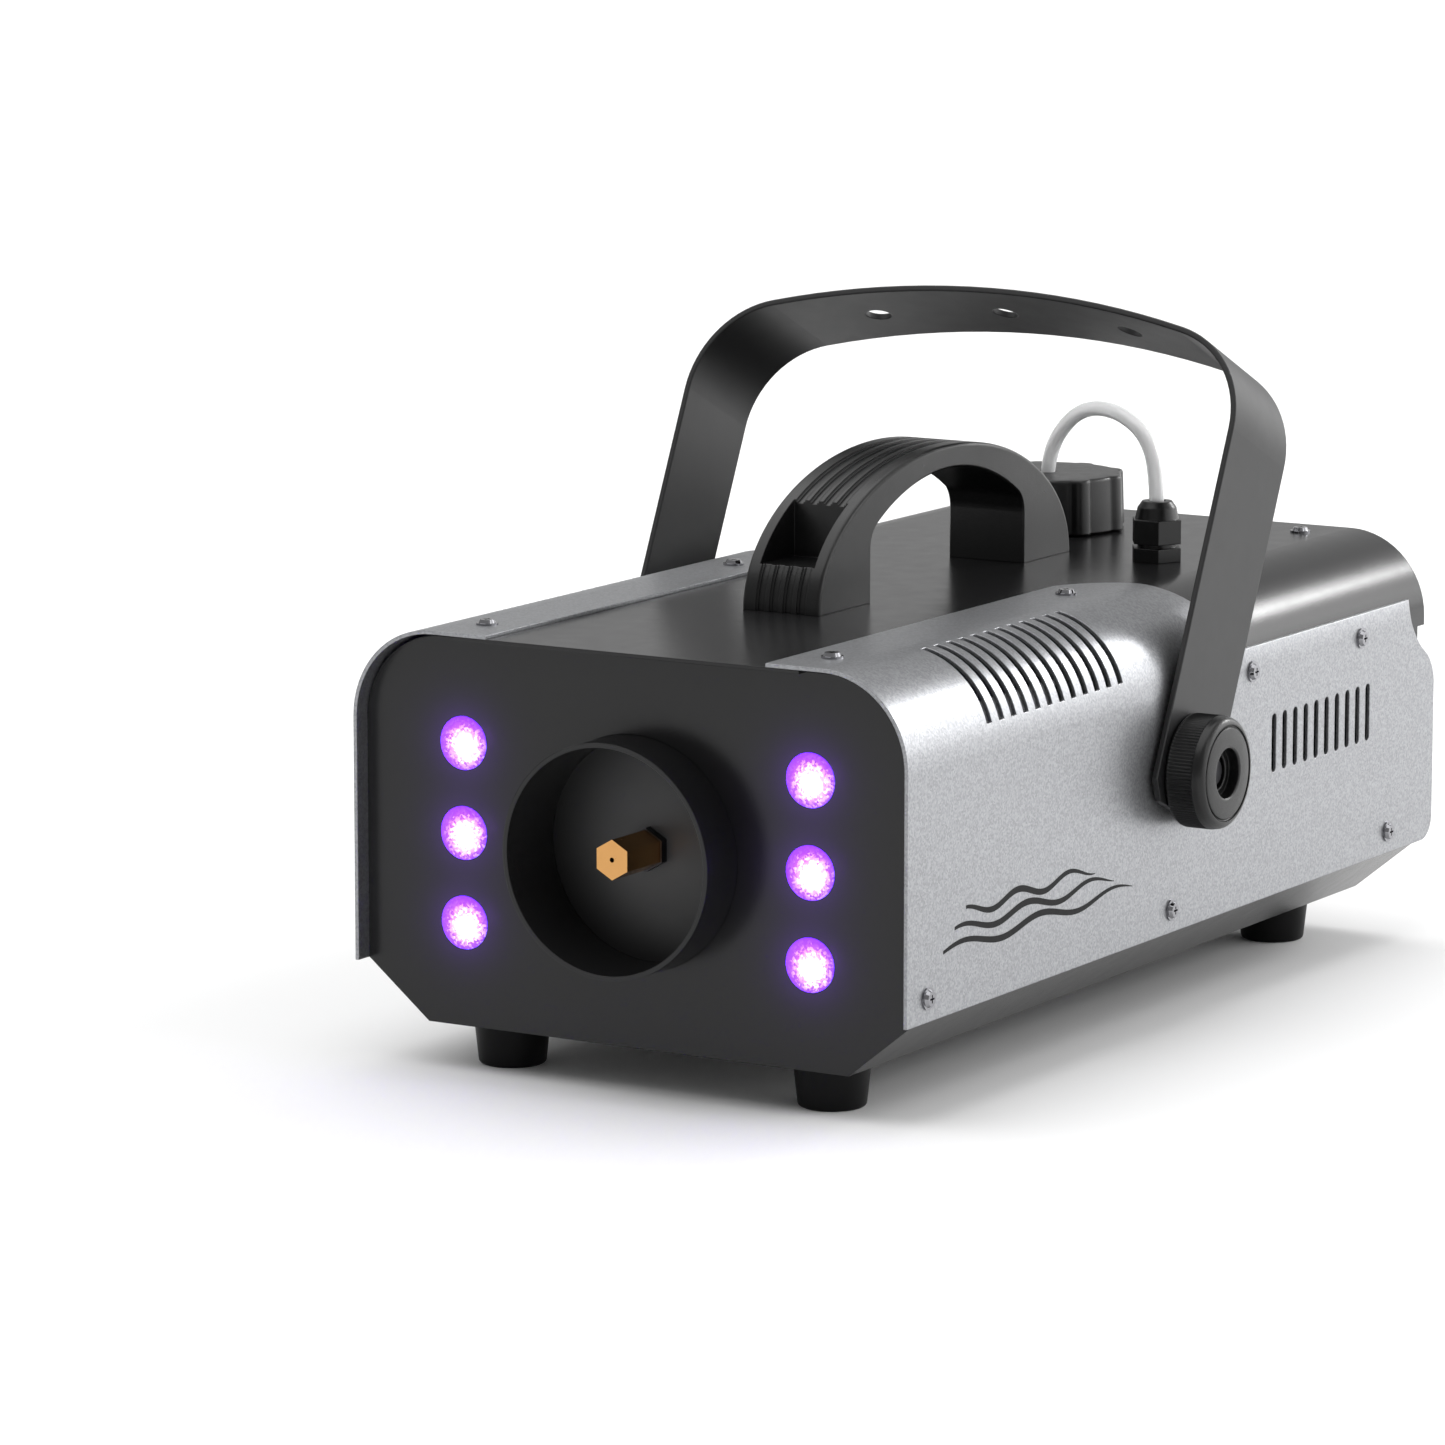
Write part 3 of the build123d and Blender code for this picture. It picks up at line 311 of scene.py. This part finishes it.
def milky_plastic():
    s = Shader("tank_plastic", (0.80, 0.82, 0.82), 0.42, spec=0.4)
    s.vary_color(s.noise(40, 3.0), 0.06)
    s.set("Transmission Weight", 0.3)
    s.bump(s.noise(700, 2.0), 0.00004, 0.3)
    return s.mat


def solder_mask():
    """Circuit board: glossy green mask over faint copper tracks."""
    s = Shader("pcb", (0.02, 0.13, 0.05), 0.32, spec=0.5)
    tracks = s.node("ShaderNodeTexBrick")
    tracks.inputs["Scale"].default_value = 160
    s.link(s.coords, tracks.inputs["Vector"])
    light = tuple(c * 1.7 + 0.01 for c in s.color)
    s.paint(tracks.outputs["Fac"], s.color, light)
    s.vary_rough(s.noise(300, 2.0), 0.06)
    return s.mat


def felt():
    s = Shader("felt", (0.80, 0.79, 0.74), 0.95, spec=0.2)
    fibres = s.noise(1.0, 4.0, stretch=(1500, 500, 900))
    s.vary_color(fibres, 0.18)
    s.bump(fibres, 0.0003, 0.7)
    return s.mat


def printed_ink():
    s = Shader("printed_ink", (0.004, 0.004, 0.0045), 0.5, spec=0.12)
    s.vary_color(s.noise(900, 3.0), 0.3)
    s.vary_rough(s.noise(500, 2.0), 0.06)
    return s.mat


# painted light and painted shade on the collar's back plate, deep inside its tube
PAINTED_LIGHT_GREY = (0.055, 0.055, 0.057)
PAINTED_SHADE_BLACK = (0.004, 0.004, 0.0042)
PAINTED_LIGHT_R = 0.010         # how far out from the nozzle the collar's back plate keeps its painted light


def painted_light_and_shade_coat():
    """The same black paint, with painted light round the nozzle that fades to painted shade towards the
    tube's wall.
    """
    s = Shader("painted_light_and_shade_coat", PAINTED_LIGHT_GREY, 0.42, spec=0.4)
    low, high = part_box("collar_back_plate")
    plate_r = (high.x - low.x) / 2
    # painted shade: darker from the painted light round the nozzle out to the tube's wall
    painted_shade_mask = s.remap(s.distance((low + high) / 2), 0.0, 1.0, PAINTED_LIGHT_R, plate_r)
    s.paint(painted_shade_mask, PAINTED_LIGHT_GREY, PAINTED_SHADE_BLACK)
    s.vary_rough(s.noise(140, 3.0), 0.06)
    s.bump(s.noise(1500, 2.0), 0.00003, 0.35)
    return s.mat


BLACK_PAINT = (0.008, 0.008, 0.0085)
MATERIALS = {
    "painted_silver": painted_silver(),
    "black_coat": powder_coat("black_coat", BLACK_PAINT, 0.24, 0.36, 1500),
    "strap_coat": powder_coat("strap_coat", BLACK_PAINT, 0.42, 0.40, 1900),
    "black_plastic": moulded("black_plastic", (0.003, 0.003, 0.0032), 0.30, spec=0.38),
    "gloss_black": moulded("gloss_black", (0.006, 0.006, 0.0065), 0.18, depth=0.00001),
    "rubber": rubber(),
    "chrome_screw": metal("chrome_screw", (0.27, 0.27, 0.285), 0.10),
    "zinc": metal("zinc", (0.62, 0.63, 0.66), 0.34, spread=0.16),
    "brass": brass(),
    "dark_ring": metal("dark_ring", (0.05, 0.05, 0.055), 0.4),
    "lens": lit_lens(),
    "pcb": solder_mask(),
    "parts_mix": moulded("parts_mix", (0.05, 0.055, 0.06), 0.4),
    "aluminium": metal("aluminium", (0.74, 0.75, 0.77), 0.36),
    "felt": felt(),
    "steel": metal("steel", (0.50, 0.51, 0.53), 0.30),
    "tank_plastic": milky_plastic(),
    "silicone": silicone(),
    "red_cap": moulded("red_cap", (0.50, 0.02, 0.015), 0.26, depth=0.00001),
    "wire": moulded("wire", (0.02, 0.02, 0.022), 0.45),
}


def finish_cad_nodes():
    slots = {entry["node"]: entry["material_slot"] for entry in frame["record"]["subparts"]}
    for name, obj in NODES.items():
        obj.data.materials.clear()
        obj.data.materials.append(MATERIALS[slots[name]])
    # the collar's back plate gets painted light round the nozzle and painted shade towards the tube's
    # wall
    NODES["collar_back_plate"].data.materials[0] = painted_light_and_shade_coat()
    NODES["bracket_studs"].data.materials[0] = MATERIALS["dark_ring"]   # the pivot studs are blackened


# ---------------------------------------------------------------- mesh tools
def add_piece(name, mesh, body, slot, replaced=(), smooth=35):
    obj = bpy.data.objects.new(name, mesh)
    bpy.context.scene.collection.objects.link(obj)
    mesh.materials.append(MATERIALS[slot])
    mesh.shade_smooth()
    mesh.set_sharp_from_angle(angle=radians(smooth))
    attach(obj, body)
    if replaced:
        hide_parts(*replaced)
    return obj


def mesh_of(name, points, faces):
    """A mesh whose faces all look outwards."""
    mesh = bpy.data.meshes.new(name)
    mesh.from_pydata(points, [], faces)
    work = bmesh.new()
    work.from_mesh(mesh)
    bmesh.ops.recalc_face_normals(work, faces=work.faces)
    work.to_mesh(mesh)
    work.free()
    return mesh


def skin(name, rings):
    """A skin over rings of points, each ring closed on itself."""
    count = len(rings[0])
    points = [p for ring in rings for p in ring]
    faces = []
    for i in range(len(rings) - 1):
        for j in range(count):
            k = (j + 1) % count
            faces.append((i * count + j, i * count + k, (i + 1) * count + k, (i + 1) * count + j))
    return mesh_of(name, points, faces)


def ring_about_z(x, y, z, r, steps):
    return [(x + r * cos(2 * pi * i / steps), y + r * sin(2 * pi * i / steps), z) for i in range(steps)]


def quarter(steps, first=1):
    """The sine and cosine of evenly spread angles, up to a right angle."""
    return [(sin(radians(90 * i / steps)), cos(radians(90 * i / steps))) for i in range(first, steps + 1)]


# ---------------------------------------------------------------- clear hose
HOSE_DIAMETER = 0.005
HOSE_START = (0.0486, 0.0800)        # the middle of the gland
HOSE_END = (-0.0201, 0.1294)         # the middle of the filler cap
# distance along the way from the gland to the cap, and height; None is the whole distance
HOSE_ROUTE = [(0.0, 0.150), (0.0, 0.167), (0.008, 0.1805), (0.031, 0.1862), (0.057, 0.184)]
HOSE_ROUTE += [(0.077, 0.1725), (None, 0.1595), (None, 0.148)]


def clear_hose():
    """One arch from the gland to the filler cap, into both of which the hose goes on."""
    dx, dy = HOSE_END[0] - HOSE_START[0], HOSE_END[1] - HOSE_START[1]
    run = hypot(dx, dy)
    points = []
    for s, z in HOSE_ROUTE:
        share = 1.0 if s is None else s / run
        points.append((HOSE_START[0] + dx * share, HOSE_START[1] + dy * share, z))
    data = bpy.data.curves.new("clear_hose", "CURVE")
    data.dimensions = "3D"
    data.resolution_u = 24
    data.bevel_depth = HOSE_DIAMETER / 2
    data.bevel_resolution = 8
    data.use_fill_caps = True
    spline = data.splines.new("NURBS")
    spline.points.add(len(points) - 1)
    for point, place in zip(spline.points, points):
        point.co = (*place, 1.0)
    spline.order_u = 3
    spline.use_endpoint_u = True
    hose = bpy.data.objects.new("clear_hose", data)
    bpy.context.scene.collection.objects.link(hose)
    data.materials.append(MATERIALS["silicone"])
    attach(hose, "chassis")
    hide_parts("suction_hose")


# ---------------------------------------------------------------- knobs
KNOB_RIBS = 100
RIB_DEPTH = 0.00045
RIB_SHAPE = (1.0, 0.55, 0.0, 0.55)   # how deep each of a rib's four points lies, as a share of RIB_DEPTH
KNOB_BORE_R = 0.00405                # round the stud
KNOB_STEP_R = 0.0056                 # the small step at the bottom of the hole in the face
KNOB_HOLE_R = 0.0080
KNOB_GROOVE_R = 0.0150
KNOB_RIM = 0.0026                    # radius of the rounded rim


def knob(name, body, side):
    """Turned plastic knob: straight ribs, rounded rim, a groove round the face, a stepped centre."""
    low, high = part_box(name)
    inner_x, outer_x = (low.x, high.x) if side > 0 else (high.x, low.x)
    radius = (high.z - low.z) / 2
    y, z = (low.y + high.y) / 2, (low.z + high.z) / 2
    rings = []
    for depth, r, ribbed in knob_profile(abs(outer_x - inner_x), radius):
        ring = []
        for i in range(KNOB_RIBS * len(RIB_SHAPE)):
            a = 2 * pi * i / (KNOB_RIBS * len(RIB_SHAPE))
            rr = r - RIB_DEPTH * RIB_SHAPE[i % len(RIB_SHAPE)] if ribbed else r
            ring.append((inner_x + side * depth, y + rr * cos(a), z + rr * sin(a)))
        rings.append(ring)
    add_piece(name + "_ribbed", skin(name, rings), body, "black_plastic", (name,), smooth=28)


def knob_profile(face, radius):
    """(distance from the bracket, radius, ribbed) from the bore, round the knob and back to the bore."""
    back = [(0.0, KNOB_BORE_R), (0.0, radius - 0.0012)]
    back += rounded_corner((0, radius - 0.002), (0.0, radius - 0.0002), (0.002, radius), 0.0009)
    ribs = [(0.0014, radius), (face - 0.0042, radius)]
    rim = [(face - 0.0040, radius)]
    for s, c in quarter(6, first=0):
        rim.append((face - KNOB_RIM + KNOB_RIM * s - 0.0002, radius - 0.0003 - KNOB_RIM + KNOB_RIM * c))
    groove = [(face - 0.0002, KNOB_GROOVE_R + 0.0006), (face - 0.0008, KNOB_GROOVE_R + 0.0004)]
    groove += [(face - 0.0009, KNOB_GROOVE_R), (face - 0.0003, KNOB_GROOVE_R - 0.0003)]
    groove.append((face - 0.0001, KNOB_GROOVE_R - 0.0010))
    hole = [(face - 0.0001, KNOB_HOLE_R + 0.0006), (face - 0.0004, KNOB_HOLE_R + 0.0001)]
    hole += [(face - 0.0010, KNOB_HOLE_R), (face - 0.0040, KNOB_HOLE_R)]
    hole += [(face - 0.0040, KNOB_STEP_R + 0.0003), (face - 0.0043, KNOB_STEP_R)]
    hole += [(face - 0.0060, KNOB_STEP_R), (face - 0.0060, KNOB_BORE_R), (0.0, KNOB_BORE_R)]
    outline = [(*point, False) for point in back] + [(*point, True) for point in ribs]
    return outline + [(*point, False) for point in rim + groove + hole]


def rounded_corner(before, corner, after, reach, steps=3):
    """Points of a curve that starts and ends at reach from the corner between two straight runs."""
    c = Vector(corner)
    a = (Vector(before) - c).normalized() * reach
    b = (Vector(after) - c).normalized() * reach
    out = []
    for i in range(steps + 1):
        t = i / steps
        out.append(tuple(c + a * (1 - t) ** 2 + b * t ** 2))
    return out


# ---------------------------------------------------------------- filler cap
CAP_R = 0.0280
CAP_INNER_R = 0.01695
CAP_LOBES = 9
CAP_PHASE = 6.0          # degrees from +X to the middle of the first lobe
CAP_STEPS = CAP_LOBES * 28
CAP_SKIN = 0.0036        # how thick the top is
CAP_EDGE_R = 0.0012
CAP_BREAK = 0.0006       # the small chamfer round the bottom, and the top's first step inwards
LOBE_DEPTH = 0.0018


def lobed(r, a):
    """The cap's outer radius at an angle: narrow lobes with wide hollows between them."""
    wave = cos(CAP_LOBES * (a - radians(CAP_PHASE)))
    lobe = max(0.0, (wave - 0.35) / 0.65) ** 0.6
    return r - LOBE_DEPTH * (1 - lobe)


def filler_cap():
    """Lobed cap with rolled lobes, a rounded top edge, and a hole that the hose passes through."""
    low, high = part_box("tank_cap")
    x, y = HOSE_END
    edge_z = high.z - CAP_EDGE_R
    shoulder_r = CAP_R - CAP_BREAK
    hole = HOSE_DIAMETER / 2 + 0.0006
    outside = [(low.z, shoulder_r), (low.z + CAP_BREAK, CAP_R), (edge_z, shoulder_r)]
    for s, c in quarter(5):
        outside.append((edge_z + CAP_EDGE_R * s, shoulder_r - CAP_EDGE_R * (1 - c)))
    rings = [ring_about_z(x, y, low.z, CAP_INNER_R, CAP_STEPS)]
    for z, r in outside:
        ring = []
        for i in range(CAP_STEPS):
            a = 2 * pi * i / CAP_STEPS
            rr = lobed(r, a)
            ring.append((x + rr * cos(a), y + rr * sin(a), z))
        rings.append(ring)
    for r in (0.020, 0.012, hole + 0.0004):
        rings.append(ring_about_z(x, y, high.z, r, CAP_STEPS))
    under = high.z - CAP_SKIN
    for r, z in ((hole, high.z - 0.0005), (hole, under), (CAP_INNER_R, under), (CAP_INNER_R, low.z)):
        rings.append(ring_about_z(x, y, z, r, CAP_STEPS))
    cap = skin("filler_cap", rings)
    add_piece("filler_cap", cap, "filler_cap", "black_plastic", ("tank_cap",), smooth=30)


# ---------------------------------------------------------------- lamp lenses
LENS_R = 0.0085
LENS_DOME = 0.0007       # how far the middle of a lens stands out past its edge
LENS_SIDE_STEP = 0.0025  # from one ring of a lens's straight side to the next
LENS_SIDE_RINGS = 2
LENS_RINGS = 14
LENS_STEPS = 64
LENS_INSET = 0.0100      # from the edge of a lens's flange to its centre
CORE_SHIFT = (0.10, -0.12)   # the bright core's place, as a share of the lens's radius


def lamp_places():
    """The centres of the six lamps, on the plane of the lenses' foremost points."""
    low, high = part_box("led_lenses")
    span = (high.z - low.z) / 2 - LENS_INSET
    middle = (high.z + low.z) / 2
    xs = (low.x + LENS_INSET, high.x - LENS_INSET)
    return [(x, low.y, z) for x in xs for z in (middle - span, middle, middle + span)]


def lamp_lenses():
    """Slightly domed round lenses, pressed up from behind the panel."""
    points, faces, spread = [], [], []
    rings = LENS_RINGS + LENS_SIDE_RINGS
    for x, front, z in lamp_places():
        base = len(points)
        points.append((x, front, z))
        spread.append(hypot(*CORE_SHIFT))
        for i in range(1, rings + 1):
            share = min(1.0, i / LENS_RINGS)
            depth = LENS_DOME * share ** 2 + LENS_SIDE_STEP * max(0, i - LENS_RINGS)
            for j in range(LENS_STEPS):
                a = 2 * pi * j / LENS_STEPS
                points.append((x + LENS_R * share * cos(a), front + depth, z + LENS_R * share * sin(a)))
                spread.append(hypot(share * cos(a) - CORE_SHIFT[0], share * sin(a) - CORE_SHIFT[1]))
        for j in range(LENS_STEPS):
            k = (j + 1) % LENS_STEPS
            faces.append((base, base + 1 + j, base + 1 + k))
            for i in range(rings - 1):
                a, b = base + 1 + i * LENS_STEPS, base + 1 + (i + 1) * LENS_STEPS
                faces.append((a + j, b + j, b + k, a + k))
        last = base + 1 + (rings - 1) * LENS_STEPS
        faces.append(tuple(last + j for j in reversed(range(LENS_STEPS))))
    mesh = mesh_of("lamp_lenses", points, faces)
    layer = mesh.attributes.new("from_centre", "FLOAT", "POINT")
    layer.data.foreach_set("value", spread)
    add_piece("lamp_lenses", mesh, "chassis", "lens", ("led_lenses",))


# ---------------------------------------------------------------- rubber feet
FOOT_TOP_R = 0.0123
FOOT_BOTTOM_R = 0.0108
FOOT_RECESS = 0.0060     # how deep the screw's head sits
FOOT_RECESS_R = 0.0046
FOOT_SHANK_R = 0.0021
FOOT_FILLET = 0.0014
FOOT_TOP_EDGE = 0.0006
FOOT_STEPS = 64


def rubber_feet():
    """Tapered feet with a rounded tread and a recess for the screw; one piece each."""
    low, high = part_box("feet")
    profile = [(FOOT_RECESS, FOOT_SHANK_R), (FOOT_RECESS, FOOT_RECESS_R), (0.0, FOOT_RECESS_R)]
    profile.append((0.0, FOOT_BOTTOM_R - FOOT_FILLET))
    for s, c in quarter(5):
        profile.append((FOOT_FILLET * (1 - c), FOOT_BOTTOM_R - FOOT_FILLET + FOOT_FILLET * s))
    profile += [(high.z - FOOT_TOP_EDGE, FOOT_TOP_R - 0.0001), (high.z, FOOT_TOP_R - FOOT_TOP_EDGE)]
    profile += [(high.z, FOOT_SHANK_R), (FOOT_RECESS, FOOT_SHANK_R)]
    for i, x in enumerate((low.x + FOOT_TOP_R, high.x - FOOT_TOP_R)):
        for j, y in enumerate((low.y + FOOT_TOP_R, high.y - FOOT_TOP_R)):
            name = f"foot_{i}{j}"
            rings = [ring_about_z(x, y, z, r, FOOT_STEPS) for z, r in profile]
            replaced = ("feet",) if (i, j) == (0, 0) else ()
            add_piece(name, skin(name, rings), "chassis", "rubber", replaced)


# ---------------------------------------------------------------- printed mark
MARK_Y = (-0.1547, -0.0327)          # the printed area on the right cover
MARK_Z = (0.0505, 0.0655)
MARK_WAVES = 3
MARK_STEPS = 120
MARK_LIFT = 0.00008                  # how thick the ink is
MARK_HALF_WIDTH = 0.00105            # of a line where it is thickest
WAVE_HEIGHT = 0.0017
WAVES_ACROSS = 2.5
WAVE_OFFSET = 0.13                   # how far each line's wave is ahead of the line below, in wavelengths
WAVE_INDENT = 0.007                  # how much further back each line starts than the line below
WAVE_SHORTER = 0.16                  # how much shorter each line is, as a share of the lowest


def wave_mark():
    """Three drifting lines printed on the right cover, a plain sign for fog."""
    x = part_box("side_cover_right")[1].x
    points, faces = [], []
    for n in range(MARK_WAVES):
        base_z = MARK_Z[0] + (MARK_Z[1] - MARK_Z[0]) * (n + 0.5) / MARK_WAVES
        first = len(points)
        start = MARK_Y[0] + WAVE_INDENT * n
        length = (MARK_Y[1] - MARK_Y[0]) * (1.0 - WAVE_SHORTER * n)
        for i in range(MARK_STEPS + 1):
            t = i / MARK_STEPS
            z = base_z + WAVE_HEIGHT * sin(2 * pi * (WAVES_ACROSS * t + WAVE_OFFSET * n))
            taper = sqrt(max(0.02, sin(pi * min(1.0, 0.04 + 0.96 * t) ** 0.8)))
            for depth in (0.0, MARK_LIFT):
                for half in (-MARK_HALF_WIDTH, MARK_HALF_WIDTH):
                    points.append((x + depth, start + length * t, z + half * taper))
        for i in range(MARK_STEPS):
            a, b = first + 4 * i, first + 4 * (i + 1)
            faces += [(a, b, b + 1, a + 1), (a + 2, a + 3, b + 3, b + 2)]
            faces += [(a, a + 2, b + 2, b), (a + 1, b + 1, b + 3, a + 3)]
        end = first + 4 * MARK_STEPS
        faces += [(first, first + 1, first + 3, first + 2), (end, end + 2, end + 3, end + 1)]
    mark = add_piece("wave_mark", mesh_of("wave_mark", points, faces), "chassis", "gloss_black")
    mark.data.materials[0] = printed_ink()


# ---------------------------------------------------------------- stage and light
FLOOR_SIZE = 40
BRIGHT_SIDE = (0.72, 0.62, -0.30)    # where the studio is brightest: low down, right and behind
WORLD_STRENGTH = 3.0
WORLD_LEVELS = (
    # how far round towards the bright side, grey level
    (0.0, (0.14, 0.14, 0.14, 1)),
    (1.0, (1.0, 1.0, 1.0, 1)),
    (0.5, (0.22, 0.22, 0.22, 1)),
)
SOFTBOXES = (
    # name, place, width, height, watts
    ("right_rear", (1.5, 1.7, 0.9), 1.3, 1.0, 6),
    ("shoulder_streak", (0.80, 1.8, 1.0), 0.4, 0.4, 10),
    ("right", (1.9, -0.2, 1.5), 0.6, 1.4, 5),
)
LAMP_GLOW_DEPTH = 0.011              # from a lens to the light that stands for its halo on the panel
LAMP_GLOW_WATTS = 0.12
LAMP_VIOLET = (0.32, 0.10, 1.0)


def add_floor():
    bpy.ops.mesh.primitive_plane_add(size=FLOOR_SIZE, location=(0, 0, 0))
    floor = bpy.context.object
    floor.name = "floor"
    s = Shader("floor", (0.90, 0.90, 0.90), 0.7, spec=0.2)
    s.vary_color(s.noise(3, 2.0), 0.01)
    floor.data.materials.append(s.mat)


def light_world():
    """Grey surroundings that brighten towards the bright side."""
    world = bpy.data.worlds.new("studio")
    bpy.context.scene.world = world
    world.use_nodes = True
    tree = world.node_tree
    back = tree.nodes["Background"]
    coords = tree.nodes.new("ShaderNodeTexCoord")
    toward = tree.nodes.new("ShaderNodeVectorMath")
    toward.operation = "DOT_PRODUCT"
    toward.inputs[1].default_value = BRIGHT_SIDE
    spread = tree.nodes.new("ShaderNodeMapRange")
    spread.inputs["From Min"].default_value = -0.2
    tree.links.new(coords.outputs["Generated"], toward.inputs[0])
    tree.links.new(toward.outputs["Value"], spread.inputs["Value"])
    tree.links.new(color_ramp(tree, spread.outputs["Result"], WORLD_LEVELS), back.inputs["Color"])
    back.inputs["Strength"].default_value = WORLD_STRENGTH


def add_light(data, place, aim=(0, 0, 0.09)):
    light = bpy.data.objects.new(data.name, data)
    light.location = place
    light.rotation_euler = (Vector(aim) - Vector(place)).to_track_quat("-Z", "Y").to_euler()
    bpy.context.scene.collection.objects.link(light)
    return light


def add_studio_lights():
    # one very soft light from overhead gives the floor its even white
    sun = bpy.data.lights.new("overhead", "SUN")
    sun.energy = 2.2
    sun.angle = radians(80)
    add_light(sun, (-0.55, -0.10, 1.7))
    for name, place, width, height, watts in SOFTBOXES:
        data = bpy.data.lights.new(name, "AREA")
        data.shape = "RECTANGLE"
        data.size = width
        data.size_y = height
        data.energy = watts
        add_light(data, place)


def add_lamp_glow():
    """A faint violet halo on the panel round each lamp."""
    for x, y, z in lamp_places():
        glow = bpy.data.lights.new("lamp_glow", "SPOT")
        glow.energy = LAMP_GLOW_WATTS
        glow.color = LAMP_VIOLET
        glow.shadow_soft_size = 0.003
        glow.spot_size = radians(150)
        glow.spot_blend = 1.0
        light = add_light(glow, (x, y - LAMP_GLOW_DEPTH, z), aim=(x, y, z))
        light.visible_camera = False
        light.visible_glossy = False


add_camera()
finish_cad_nodes()
clear_hose()
knob("knob_right", "right_knob", 1)
knob("knob_left", "left_knob", -1)
filler_cap()
lamp_lenses()
rubber_feet()
wave_mark()
add_floor()
light_world()
add_studio_lights()
add_lamp_glow()
bpy.context.scene.view_settings.view_transform = "Standard"
